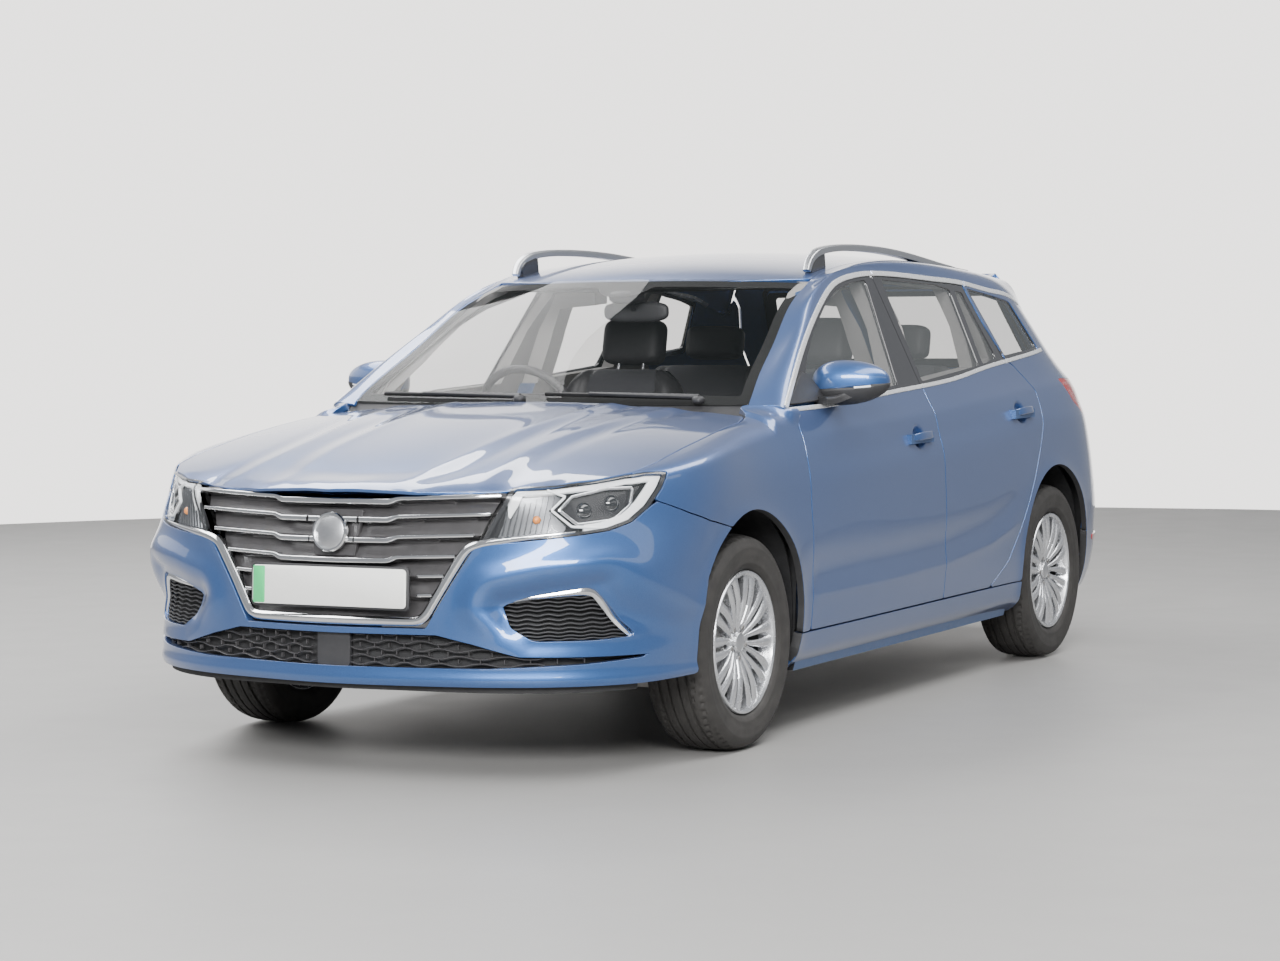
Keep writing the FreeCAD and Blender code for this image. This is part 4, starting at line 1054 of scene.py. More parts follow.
def quarterPanels():
    s, v = np.meshgrid(np.linspace(sideWay(aft(-760)), sideWay(aft(-760)) + 1560, 132),
                       np.linspace(0, 1, 108), indexing="ij")
    yGuess = way["sideY"] + (s - way["sideStart"])
    crown = np.interp(yGuess, np.append(topLine[:, 1], [1600, 1680, 1760, 2300]),
                      np.append(topLine[:, 2], [1310, 1292, 1270, 1200]))
    rise = np.interp(yGuess, [1610, 1680, 1760, 1860], [0, 130, 130, 0])  # the corner beside the tailgate
    z = 306 + (crown + rise - 306) * v
    point = sidePoint(s, z)
    x, y = point[..., 0], point[..., 1]
    door = np.where(yGuess > aft(-60), -99, -lineDistance(rearDoorLine, yGuess, z) + seam)
    gate = -outlineDistance(tailgateEdge, x, z) + seam
    bumper = np.interp(y, *rearBumperTop.T) - z
    field = within(door, archGap(y, z), -outlineDistance(quarterWindow, yGuess, z), sillTop - z + seam,
                   np.where(z > crown + 0.5, gateLine(x) - y, -99), np.where(s > sideWay(1500), gate, -99),
                   1.5 - outlineDistance(tailLampEdge, way["total"] - s, z),
                   np.where(y > 1400, bumper + seam, -99))
    panelPair("quarterSkin", point, field, hem + [(1.4, 20)], node="quarter_panel")


quarterWindow = rounded([(1086, 1122), (1408, 1143), (1485, 1150), (1400, 1340), (1253, 1362), (1010, 1392)],
                        [12, 20, 16, 30, 40, 12])
tailgateEdge = rounded([(-520, 612), (520, 612), (560, 780), (584, 890), (655, 985), (668, 1040), (650, 1180),
                        (600, 1330), (575, 1560), (-575, 1560), (-600, 1330), (-650, 1180), (-668, 1040),
                        (-655, 985), (-584, 890), (-560, 780)], 30)
tailLampEdge = rounded([(432, 915), (640, 900), (790, 903), (872, 955), (932, 1043), (860, 1042), (760, 1035),
                        (470, 1030)], [20, 30, 30, 30, 6, 10, 20, 20])
rearBumperTop = np.array([(1400, 330), (1640, 430), (1700, 520), (1760, 610), (1850, 655), (2000, 662),
                          (2100, 640), (2320, 606)], float)


bumperShape = {"bulges": [(560, 60, 5), (470, 50, -9), (380, 60, 5)], "draw": 2, "from": 1760,
               "trayDepth": 16, "tray": [(-470, 200), (470, 200), (520, 300), (450, 352), (-450, 352),
                                         (-520, 300)]}


def rearBumper():
    p = bumperShape
    t, z = grid(-1180, 1180, 232, 700, 10)
    point = tailPoint(t, z)
    top = np.interp(point[..., 1], *rearBumperTop.T)
    bulge = sum(rise * bump(z - height, width) for height, width, rise in p["bulges"]) - p["draw"]
    bulge = bulge * smoothStep((point[..., 1] - p["from"]) / 250)
    nx, ny = wayAt(way["total"] - np.abs(t))[2:]
    point[..., 0] += np.where(t < 0, -1, 1) * nx * bulge
    point[..., 1] += ny * bulge
    tray = outlineDistance(rounded(p["tray"], [0, 0, 20, 30, 30, 20]), point[..., 0], z)
    field = within(z - top + seam, archGap(point[..., 1], z), 1500 - point[..., 1], -tray)
    blackArch(panel("bumperRearSkin", point, field, paintBlue, [(1, 1.2), (1.3, 4), (1.3, 26)], "body",
                    "rear_bumper", flip=True))
    panel("bumperRearTray", point - (0, p["trayDepth"], 0), tray - 10, grainBlack, [(1, 2), (1, 20)], "body",
          flip=True)


gateShape = {
    "plateBay": [(-285, 668), (285, 668), (310, 806), (-310, 806)], "bayDepth": 18, "brow": 7, "browZ": 842,
    "window": [(-540, 1075), (540, 1075), (560, 1110), (535, 1240), (500, 1395), (-500, 1395), (-535, 1240),
               (-560, 1110)], "frit": 34,
}


def tailgateSkin():
    p = gateShape
    t, z = grid(-860, 860, 600, 1462, 10)
    point = tailPoint(t, z)
    x, y = point[..., 0], point[..., 1]
    bay = outlineDistance(rounded(p["plateBay"], 24), x, z)
    point[..., 1] -= p["bayDepth"] * smoothStep((6 - bay) / 22)
    point[..., 1] += p["brow"] * bump(z - p["browZ"], 24) * smoothStep((430 - np.abs(x)) / 140)
    window = outlineDistance(rounded(p["window"], 30), x, z)
    field = within(outlineDistance(tailgateEdge, x, z) + seam, -window,
                   1.5 - outlineDistance(tailLampEdge, np.abs(t), z), z - 1448,
                   np.where(z > 1300, gateLine(x) + seam - y, -99))
    panel("tailgateSkin", point, field, paintBlue, [(1, 1), (1.6, 4), (1.6, 18)], "tailgate", "tailgate",
          flip=True)
    pane = tailPoint(t, z, True)
    panel("tailgateGlass", pane - (0, 1.5, 0), window - 8, windowGlass, [(0.5, 4)], "tailgate",
          "tailgate_glass", flip=True)
    panel("tailgateFrit", pane - (0, 7, 0), within(window - 8, -window - p["frit"]), fritBlack, [],
          "tailgate", flip=True)


fritShape = {"halfWidth": 650, "height": 780, "side": 34, "foot": 62, "head": 44, "pod": 120, "depth": 6.0}


# the glass, and behind it the printed edge with a round patch behind the inner mirror
def windscreen():
    p = fritShape
    u, v = np.meshgrid(np.linspace(-1, 1, 90), np.linspace(0, 1, 60), indexing="ij")
    point = screenPoint(u, v)
    panel("windscreenGlass", point, np.full(u.shape, -9.0), screenGlass, [(0.3, 5)], "body", "windscreen")
    side = (1 - np.abs(u)) * p["halfWidth"] - p["side"]
    foot, head = v * p["height"] - p["foot"], (1 - v) * p["height"] - p["head"]
    pod = np.hypot(u * p["halfWidth"] / p["pod"], (1 - v) * p["height"] / p["pod"]) - 1
    band = -within(-side, -foot, -head, -pod * 100)
    panel("windscreenFrit", point - gridNormals(point) * p["depth"], band, fritBlack, [], "body")


frontBumper()
bonnetSkin()
wings()
doorSkin("front", -960, splitY + 12)
doorSkin("rear", splitY - 12, aft(-60))
sills()
roofParts()
quarterPanels()
rearBumper()
tailgateSkin()
windscreen()


# the pressed structure behind a skin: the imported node's own form, drawn in from the outer surface
def innerShell(node, name, body, inset=13.0, roofInset=8.0):
    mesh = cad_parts[node].data.copy()
    co = meshPoints(mesh)
    outer = smoothStep((np.abs(co[:, 0]) - 0.52) / 0.10)
    depth = inset + 14 * smoothStep((co[:, 2] - 0.96) / 0.08)
    co[:, 0] -= np.sign(co[:, 0]) * depth * 0.001 * outer
    co[:, 2] -= roofInset * 0.001 * smoothStep((co[:, 2] - 1.30) / 0.1)
    co[:, 2] -= 0.05 * smoothStep((-0.92 - co[:, 1]) / 0.02) * smoothStep((co[:, 2] - 0.93) / 0.03)
    mesh.vertices.foreach_set("co", co.ravel())
    mesh.materials.clear()
    for material in (structurePaint, pillarTrim, undertrayBlack):
        mesh.materials.append(material)
    for face in mesh.polygons:
        x, y, z = face.center
        outward = face.normal.x * (1 if x > 0 else -1)
        doorFrame = "door" in node and z > 1.04
        trimmed = outward < -0.25 or (z > 1.0 and outward < 0.45) or doorFrame
        face.material_index = 1 if trimmed and z > 0.42 else 0
        facesWheel = face.normal.y < -0.7 and y < -0.9 and z < 0.8
        if archGap(y * 1000, z * 1000, 60) > 0 or facesWheel or (z < 0.3 and outward < 0.5):
            face.material_index = 2
    addPiece(name, mesh, body, node)


for side in sides:
    innerShell("side_frame_" + side, "sideFrameShell_" + side, "body")
    for end in ("front", "rear"):
        innerShell(f"{end}_door_{side}", f"{end}DoorShell_{side}", f"{end}_door_{side}", inset=15)
print("stage: shell")


# skin points and outward normals, moved out by off
def surfaceAt(s, z, off=0, plain=False):
    s, z = np.broadcast_arrays(np.asarray(s, float), np.asarray(z, float))
    du = wrapPoint(s + 4, z, plain) - wrapPoint(s - 4, z, plain)
    dv = wrapPoint(s, z + 4, plain) - wrapPoint(s, z - 4, plain)
    normal = unit(np.cross(du, dv))
    return wrapPoint(s, z, plain) + normal * np.asarray(off, float)[..., None], normal


# a rounded bar's section, flat side down at height zero
def barProfile(width, height, corner=None, steps=3):
    corner = min(width, height) * 0.45 if corner is None else corner
    w = width / 2
    return rounded([(-w, 0), (w, 0), (w, height), (-w, height)], [0.3, 0.3, corner, corner], steps)


# a sweep's scale, width and thickness each changing evenly along the way
def taper(width, thick, count):
    return columns(np.linspace(*width, count), np.linspace(*thick, count))


# carries a section along a path; scale widens it and thins it along the way
def sweep(name, path, normals, profile, material, scale=None, closed=False, body=None, node=None, slot=None):
    path, profile = np.asarray(path, float), np.asarray(profile, float)
    normals = np.broadcast_to(np.asarray(normals, float), path.shape)
    count, n = len(path), len(profile)
    tangent = np.roll(path, -1, axis=0) - np.roll(path, 1, axis=0) if closed else np.gradient(path, axis=0)
    tangent = unit(tangent)
    side = unit(np.cross(tangent, normals))
    up = np.cross(side, tangent)
    scale = np.ones((count, 2)) if scale is None else scale
    verts = (path[:, None, :] + side[:, None, :] * (profile[None, :, 0] * scale[:, 0:1])[..., None]
             + up[:, None, :] * (profile[None, :, 1] * scale[:, 1:2])[..., None]).reshape(-1, 3)
    faces = rowFaces(count, n, closed) + ([] if closed else endFaces(count, n))
    return solid(name, verts, faces, material, 40, body, node, slot)


# turns a (radius, across) section about a line through centre that runs across the car
def lathe(name, profile, centre, material, segments=96, body=None, outward=1, angle=35):
    r, a = np.array(profile, float).T
    n = len(r)
    turn = np.linspace(0, 2 * math.pi, segments, endpoint=False)[:, None]
    verts = columns(np.broadcast_to(centre[0] + outward * a, (segments, n)), centre[1] + np.cos(turn) * r,
                    centre[2] + np.sin(turn) * r).reshape(-1, 3)
    faces = [face for face in rowFaces(segments, n, True) if max(r[face[0] % n], r[face[1] % n]) >= 1e-6]
    return solid(name, verts, faces, material, angle, body, clean=[merge])


# joins several meshes with their materials into one piece
def joinPieces(name, items, body=None, node=None):
    work = bmesh.new()
    materials = []
    for item in items:
        for material in item.data.materials:
            if material not in materials:
                materials.append(material)
        shift = [materials.index(material) for material in item.data.materials]
        start = len(work.faces)
        work.from_mesh(item.data)
        work.faces.ensure_lookup_table()
        for face in work.faces[start:]:
            face.material_index = shift[face.material_index] if shift else 0
        bpy.data.objects.remove(item)
    mesh = bpy.data.meshes.new(name)
    work.to_mesh(mesh)
    work.free()
    for material in materials:
        mesh.materials.append(material)
    return addPiece(name, mesh, body, node)


# a mirror copy across the car's middle
def mirrored(item, name, body=None, node=None):
    mesh = item.data.copy()
    mesh.transform(Matrix.Scale(-1, 4, (1, 0, 0)))
    mesh.flip_normals()
    return addPiece(name, mesh, body, node)


# names a left piece, puts it on its body and makes the right one
def bothSides(item, stem, body, node=None):
    item.name = stem + "_left"
    assign(item, onSide(body, "left"), node and node + "_left")
    return item, mirrored(item, stem + "_right", onSide(body, "right"), node and node + "_right")


glassShape = {
    "bandOff": -3, "paneOff": -7,
    "frontPane": rounded([(-690, 1036), (-15, 1062), (108, 1412), (100, 1420), (-30, 1410), (-172, 1386),
                          (-318, 1336), (-508, 1250), (-650, 1166), (-722, 1112)],
                         [16, 8, 6, 10, 40, 40, 40, 40, 30, 20]),
    "rearPane": rounded([(208, 1068), (796, 1110), (848, 1386), (730, 1404), (478, 1415), (246, 1422)],
                        [10, 16, 16, 40, 40, 12]),
    "fixedPane": rounded([(838, 1113), (1000, 1134), (956, 1376), (890, 1384)], [10, 10, 10, 10]),
    "frontBand": [(-760, 1030), (174, 1048), (174, 1436), (104, 1436), (-33, 1424), (-181, 1400),
                  (-321, 1352), (-516, 1265), (-740, 1148), (-900, 1052), (-945, 1024)],
    "rearBand": [(180, 1049), (546, 1071), (805, 1096), (1064, 1118), (1030, 1250), (996, 1400), (733, 1417),
                 (478, 1429), (214, 1436), (180, 1436)],
    "quarterPane": rounded([(1092, 1140), (1412, 1160), (1470, 1167), (1396, 1336), (1262, 1360),
                            (1030, 1386)],
                           [12, 20, 14, 24, 40, 12]),
    "quarterBand": [(1072, 1120), (1408, 1143), (1502, 1150), (1412, 1352), (1253, 1374), (1002, 1401),
                    (1036, 1250)],
}


# a piece cut from the side skin by its outline, moved out by off
def sidePanel(name, outline, off, material, holes=(), rings=None):
    (y0, z0), (y1, z1) = np.min(outline, axis=0) - 6, np.max(outline, axis=0) + 6
    y, z = grid(y0, y1, z0, z1, 10)
    point = sidePoint(sideWay(y), z, True)
    field = within(*[outlineDistance(outline, y, z)] + [-outlineDistance(hole, y, z) for hole in holes])
    return panel(name, point + gridNormals(point) * off, field, material, rings)


def sideWindows():
    g = glassShape
    for name, body, *panes in (("front", "front_door", "frontPane"),
                               ("rear", "rear_door", "rearPane", "fixedPane"),
                               ("quarter", "body", "quarterPane")):
        band = sidePanel("band", g[name + "Band"], g["bandOff"], glossBlack, [g[pane] for pane in panes],
                         [(0.6, 0.6), (0.8, 12)])
        bothSides(band, name + "WindowBand", body)
    for name, stem, body, node in (("frontPane", "frontDoorGlass", "front_door", "front_door_glass"),
                                   ("rearPane", "rearDoorGlass", "rear_door", "rear_door_glass"),
                                   ("fixedPane", "rearFixedGlass", "rear_door", None),
                                   ("quarterPane", "quarterGlassPane", "body", None)):
        pane = sidePanel("pane", g[name], g["paneOff"], windowGlass, rings=[(4, 0.5), (4, 4)])
        bothSides(pane, stem, body, node)
    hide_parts("quarter_glass")


chromeShape = {"topWidth": 19, "beltWidth": 15, "height": 5, "corner": 2.2,
               "front": ("front_door", (-966, splitY - 3), (-952, splitY - 3)),
               "rear": ("rear_door", (splitY + 3, 1000), (splitY + 3, 1068)),
               "quarter": ("body", (1006, 1530), (1076, 1508))}


# bright strips over the windows and along the belt, one for each door and for the quarter
def chromeLines():
    c = chromeShape
    for name in ("front", "rear", "quarter"):
        body, (top0, top1), (belt0, belt1) = c[name]
        line = along(topLine, 400)
        line = line[(line[:, 1] >= top0) & (line[:, 1] <= top1)][::2]
        y = np.linspace(belt0, belt1, 60)
        z = spline(beltLine[:, 0], beltLine[:, 1], y) + 1
        for stem, width, yy, zz in (("WindowChrome", c["topWidth"], line[:, 1], line[:, 2]),
                                    ("BeltChrome", c["beltWidth"], y, z)):
            point, normal = surfaceAt(sideWay(yy), zz, -1.0, True)
            strip = sweep("strip", point, normal, barProfile(width, c["height"], c["corner"]), windowChrome)
            bothSides(strip, name + stem, body, None)


def doorHandles():
    h = handleShape
    t = np.linspace(-1, 1, 25)
    lift = 20 * (1 - np.abs(t) ** 3.2) + 1.5
    size = columns(0.72 + 0.28 * (1 - t ** 4), 0.7 + 0.3 * (1 - t ** 2))
    for name in ("front", "rear"):
        y = fore(h[name][0]) + t * h["length"] / 2 + 8
        point, normal = surfaceAt(sideWay(y), h[name][1] + 1.0 + 2 * t)
        bar = sweep("bar", point + normal * lift[:, None], normal, barProfile(27, 13, 6, 5), paintBlue, size)
        bothSides(bar, name + "DoorHandle", name + "_door", None)


mirrorShape = {"centre": (893, fore(754), 1087), "half": (130, 80, 73)}


# a rounded box-like ball
def superBall(name, centre, half, material, power=2.5, segments=48, rings=28):
    verts = []
    for phi in math.pi * np.arange(rings + 1) / rings - math.pi / 2:
        for theta in 2 * math.pi * np.arange(segments) / segments:
            aim = np.array([math.cos(phi) * math.cos(theta), math.cos(phi) * math.sin(theta), math.sin(phi)])
            verts.append(centre + aim * (np.abs(aim) ** power).sum() ** (-1 / power) * half)
    item = makeObject(name, verts, rowFaces(rings + 1, segments), material)
    editMesh(item, merge, faceOut)
    return item


# several balls, each as (name, centre, half sizes, material, power, segments, rings)
def balls(*rows):
    return [superBall(*row) for row in rows]


# moves an object's points by a function of their places in millimetres
def shapeVerts(item, change):
    co = change(meshPoints(item.data) * 1000)
    item.data.vertices.foreach_set("co", (co * 0.001).ravel())
    item.data.update()


def mirrorHousing():
    cx, cy, cz = mirrorShape["centre"]
    hx, hy, hz = mirrorShape["half"]

    def form(p):  # tapers the shell towards the tip and flattens its rear face
        x, y, z = p[:, 0] - cx, p[:, 1] - cy, p[:, 2] - cz
        t = np.clip((x + hx) / (2 * hx), 0, 1)
        z = z * (1.04 - 0.36 * t ** 2.2) + 6 * t - 4
        y = y * (1.0 - 0.38 * t ** 1.8)
        y = np.where(y > 0, y * 0.42, y) + 26 * t
        return columns(x + cx, y + cy, z + cz)

    def cut(keep):
        def change(work):
            middles = [(face, face.calc_center_median()) for face in work.faces]
            drop = [face for face, m in middles if not keep(m.z * 1000 - cz - 0.10 * (m.x * 1000 - cx))]
            bmesh.ops.delete(work, geom=drop, context="FACES")
        return change

    for stem, half, material, keep, node, slot in (
            ("mirrorShell", (hx - 4, hy, hz), paintBlue, lambda z: z > -21, "door_mirror", "paint"),
            ("mirrorLower", (hx - 2, hy + 2, hz + 1.5), grainBlack, lambda z: z <= -18, None,
             "black_plastic")):
        item = superBall("shell", (cx, cy, cz), half, material)
        shapeVerts(item, form)
        editMesh(item, cut(keep))
        solid = item.modifiers.new("wall", "SOLIDIFY")
        solid.thickness = 0.0025
        solid.offset = -1
        bothSides(item, stem, "front_door", node)

    def glassForm(p):
        t = np.clip((p[:, 0] - cx + 106) / 212, 0, 1)
        return columns(p[:, 0], p[:, 1] + 24 * t, cz + (p[:, 2] - cz) * (1.0 - 0.30 * t ** 2.2))

    glass = superBall("glass", (cx - 2, cy + 31, cz), (112, 3, 56), reflectorSilver, power=4)
    shapeVerts(glass, glassForm)
    bothSides(glass, "mirrorGlass", "front_door", None)
    path = along([(824, fore(650), 1034), (846, fore(690), 1034), (876, fore(722), 1042),
                  (905, fore(738), 1052)],
                 20)
    foot = sweep("foot", path - (0, 0, 14), (0, 0, 1), barProfile(62, 26, 11, 5), grainBlack,
                 taper((1.5, 0.9), (0.85, 1.0), 20))
    bothSides(foot, "mirrorFoot", "front_door", None)
    sail = sidePanel("sail", rounded([(-938, 1026), (-640, 1034), (-700, 1106), (-742, 1124), (-880, 1056)],
                                     [4, 10, 10, 10, 20]), 2.0, grainBlack, rings=[(0.8, 0.8), (1, 9)])
    bothSides(sail, "mirrorSail", "front_door", None)
    amber = sweep("repeater", along([(cx + 36, cy - 56, cz - 16), (cx + 74, cy - 34, cz - 13),
                                     (cx + 97, cy - 4, cz - 10)], 12), (0.5, -0.85, 0), barProfile(6, 3, 1.4),
                  lampGuide)
    bothSides(amber, "mirrorRepeater", "front_door", None)


railLine = np.array([(1159, 1461), (1172, 1484), (1200, 1505), (1277, 1524), (1443, 1534), (1661, 1533),
                     (1919, 1520), (2189, 1494), (2363, 1475), (2560, 1452), (2640, 1437)], float)
railShape = {"x": (562, 556), "width": 33, "height": 24, "drop": 16.5,
             "feet": {"Front": (1178, 1290), "Rear": (2440, 2610)}, "footX": 558, "footWidth": 26}


def roofRails():
    r = railShape
    path = along(columns(np.interp(railLine[:, 0], [1159, 2640], r["x"]), fore(railLine[:, 0]),
                         railLine[:, 1]), 90)
    t = np.linspace(0, 1, 90)
    ends = np.minimum(smoothStep(t / 0.10), smoothStep((1 - t) / 0.14))
    bar = sweep("bar", path - (0, 0, r["drop"]), (0, 0, 1), barProfile(r["width"], r["height"], 10, 5),
                satinMetal, columns(0.78 + 0.22 * ends, 0.8 + 0.2 * ends))
    bothSides(bar, "roofRail", "body", None)
    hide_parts("roof_rails")
    for name, (y0, y1) in r["feet"].items():
        y = fore(np.linspace(y0, y1, 24))
        x = np.full(24, float(r["footX"]))
        base = roofHeight(x, y)
        tall = np.maximum(np.interp(y - frontAxle, *railLine.T) - 12 - base, 3)
        foot = sweep("foot", columns(x, y, base - 1), (0, 0, 1), barProfile(r["footWidth"], 1.0, 0.3),
                     glossBlack, columns(np.ones(24), tall))
        bothSides(foot, "railFoot" + name, "body", None)


sideWindows()
chromeLines()
doorHandles()
mirrorHousing()
roofRails()
print("stage: windows, chrome, handles, mirrors, rails")


wheelShape = {
    "spokes": 10, "across": 9, "runs": 22, "spokeFrom": 36, "spokeTo": 201, "nuts": 5, "nutCircle": 50,
    "face": 84, "spin": {"front": 0.35, "rear": 0.1},
}
tyreShape = {
    "tread": 84, "radius": 325.5, "crown": 9.5, "segments": 200, "pitches": 70, "grooves": (16.5, 47),
    "grooveHalf": 3.3, "grooveDepth": 7.0,
    "side": [(219, 82), (222, 88), (228, 92), (236, 96), (240, 97.6), (243, 97.2), (256, 100.4), (270, 101.6),
             (282, 101.4), (285, 102.0), (289, 101.0), (298, 98.4), (306, 94.2), (312, 90)],
}


def turnedAbout(verts, angle):
    c, s = math.cos(angle), math.sin(angle)
    x, y, z = verts[..., 0], verts[..., 1], verts[..., 2]
    return columns(x, c * y - s * z, s * y + c * z)


# the twin spokes: each a crowned beam whose faces follow one another round the hub
def spokeMesh():
    w = wheelShape
    across, runs = w["across"], w["runs"]
    shares = [-1 + 2 * j / (across - 1) for j in range(across)]
    verts, faces = [], []
    for n in range(w["spokes"]):
        for hand in (-1, 1):
            start = len(verts)
            for i in range(runs):
                t = i / (runs - 1)
                r = w["spokeFrom"] + (w["spokeTo"] - w["spokeFrom"]) * t
                mid = hand * (8.0 + 14.0 * t ** 1.1 + 4 * math.sin(math.pi * t))
                half = 6.8 + 9.2 * t + 2.4 * t ** 4
                face = 60 + 16 * math.sin(math.pi * min(1, t * 0.92)) + 14 * t ** 2
                depth = 26 - 8 * t
                ring = [(face + 3.2 * (1 - u * u) - (1.3 if hand * u < -0.7 else 0) - 3.2 * abs(u) ** 6,
                         mid + half * u, r) for u in shares]
                ring += [(face - depth, mid + (half - 2.5) * u, r) for u in shares[::-1]]
                verts += list(turnedAbout(np.array(ring), 2 * math.pi * n / w["spokes"]))
            faces += rowFaces(runs, 2 * across, start=start)
    return solid("spokes", verts, faces, alloySilver, 42)


# one wheel about the origin, outer face towards +x
def buildRim():
    face, mid = wheelShape["face"], (0, 0, 0)
    parts = [
        lathe("rim", [(217, face), (214, face + 5), (208, face + 6), (202, face + 2), (199, face - 8),
                      (196, face - 26), (190, face - 40), (188, -40), (196, -70), (214, -84), (217, -84),
                      (217, -78), (204, -66), (198, -36),
                      (198, face - 40), (205, face - 22), (212, face - 8)],
              mid, alloySilver, 120, angle=28),
        lathe("barrel", [(187.5, face - 41), (187.5, -60), (186.5, -60), (186.5, face - 41)],
              mid, alloyPocket),
        spokeMesh(),
        lathe("hub", [(0, 66), (30, 66), (32, 64), (33, 60), (44, 62), (64, 64), (70, 60), (72, 52), (66, 30),
                      (0, 30)], mid, alloySilver, 72, angle=30),
        lathe("cap", [(0, 72), (20, 71.6), (26, 70.4), (28, 68), (28, 62), (0, 62)], mid, satinMetal, 48),
        lathe("capRing", [(28, 70), (30, 70), (31, 66), (28, 66)], mid, chrome, 48),
    ]
    for n in range(wheelShape["nuts"]):
        angle = 2 * math.pi * (n + 0.5) / wheelShape["nuts"]
        spot = (0, wheelShape["nutCircle"] * math.cos(angle), wheelShape["nutCircle"] * math.sin(angle))
        parts.append(lathe("well", [(0, 56), (12.5, 56), (13, 65), (11.5, 65.5), (11, 57.5), (0, 57.5)],
                           spot, alloyPocket, 24))
        parts.append(lathe("nut", [(0, 69), (5, 69), (8, 67), (9.2, 64), (9.2, 55), (0, 55)],
                           spot, castSteel, 6, angle=20))
    parts.append(lathe("valve", [(0, 78), (3.2, 78), (3.6, 50), (0, 50)], (0, 0, 178), sealRubber, 12))
    parts.append(lathe("disc", [(138, 12), (138, 26), (70, 26), (66, 38), (60, 40), (0, 40), (0, 12)],
                       mid, discSteel, 72))
    return joinPieces("wheelMaster", parts)


# one tyre about the origin: plain sidewalls, ribbed shoulders, grooves and slots
def buildTyre():
    w = tyreShape
    half, segments = w["tread"], w["segments"]
    turn = np.linspace(0, 2 * math.pi, segments, endpoint=False)
    phase = turn * w["pitches"] / (2 * math.pi)
    cross = np.concatenate([np.linspace(half, 52, 9), np.linspace(50, 44, 4), np.linspace(42, 22, 6),
                            np.linspace(20, 13, 4), np.linspace(11, -11, 7)])
    rows = []

    def sidewall(r, x):
        slot = ((phase + 0.10 * (r - 296) / 16) % 1 < 0.17) & (r > 296)
        lift = np.where(slot, -1.8, 0.0)
        rows.append((np.full(segments, float(x)), r + lift * 0.4))

    for r, x in w["side"]:
        sidewall(r, x)
    for x in np.concatenate([cross, -cross[::-1][7:]]):
        a = abs(x)
        if any(abs(a - c) < w["grooveHalf"] for c in w["grooves"]):
            lift = -w["grooveDepth"]
        elif a > 50:
            lift = -np.where((phase + 0.012 * (a - 50) * math.copysign(1, x)) % 1 < 0.17, 5.5, 0)
        elif a > 20:
            lift = -np.where(((phase + 0.030 * x) % 1 < 0.12) & (a > 31), 4.0, 0)
        else:
            lift = -np.where(((phase + 0.035 * x + 0.5) % 1 < 0.10) & (a > 4), 2.5, 0)
        rows.append((np.full(segments, x), w["radius"] - w["crown"] * (a / half) ** 3.6 + lift))
    for r, x in w["side"][::-1]:
        sidewall(r, -x)
    n = len(rows)
    rings = [(across, np.cos(turn) * radius, np.sin(turn) * radius) for across, radius in rows]
    verts = np.array([columns(*ring) for ring in rings]).transpose(1, 0, 2).reshape(-1, 3)
    return solid("tyreMaster", verts, rowFaces(segments, n, True), tyreRubber, 34)


def buildWheels():
    rim, tyre = buildRim(), buildTyre()
    for axle in ("front", "rear"):
        for side in sides:
            end = f"{axle}_{side}"
            lo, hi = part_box("tyre_" + end)
            put = Matrix.Translation((lo + hi) / 2) @ turned(0 if side == "left" else 180, "Z") \
                @ Matrix.Rotation(wheelShape["spin"][axle], 4, "X")
            for master, stem, node, slot in ((rim, "rim_", "wheel_", "alloy"),
                                             (tyre, "tyreBody_", "tyre_", "tyre")):
                mesh = master.data.copy()
                mesh.transform(put)
                addPiece(stem + end, mesh, "wheel_" + end, node + end)
    bpy.data.objects.remove(rim)
    bpy.data.objects.remove(tyre)


buildWheels()
print("stage: wheels")


grilleShape = {"bars": [(790, 13), (738, 11), (680, 11), (622, 11), (567, 10), (513, 10)], "kink": 178,
               "back": 48, "lean": 26, "shadow": 62, "flapClear": 5.5}


def flipped(vectors, left):  # the same vectors, turned over to the right where left is False
    vectors[..., 0] *= np.where(left, 1, -1)
    return vectors


# points on the nose at front-view places, moved out by off
def nosePlane(x, z, off):
    s = np.abs(x)
    for _ in range(6):
        s = s + (np.abs(x) - sidePoint(s, z, True)[..., 0]) * 0.9
    return tuple(flipped(part, x >= 0) for part in surfaceAt(s, z, off, True))


# angled grey plates between the bars, stepping like louvres
def grilleBack():
    g = grilleShape
    x, z = grid(-545, 545, 455, 840, 7)
    heights = np.array([838] + [b[0] for b in g["bars"]] + [458], float)
    level = z - 14 * np.clip((np.abs(x) - g["kink"]) / 340, 0, 1)
    i = np.clip(np.searchsorted(-heights, -level) - 1, 0, len(heights) - 2)
    share = (heights[i] - level) / (heights[i] - heights[i + 1])
    mouth = mouthField(x, z)
    panel("grilleLouvres", nosePlane(x, z, g["lean"] * share - g["back"])[0], mouth - 16, grilleGrey,
          [(1, 10)], "body", "grille")
    panel("grilleShadow", nosePlane(x, z, -g["shadow"])[0], mouth - 20, undertrayBlack, [], "body")


# half the width of the charge flap at a height
def flapHalf(height):
    return 94.5 - 26 * (812 - height) / 176


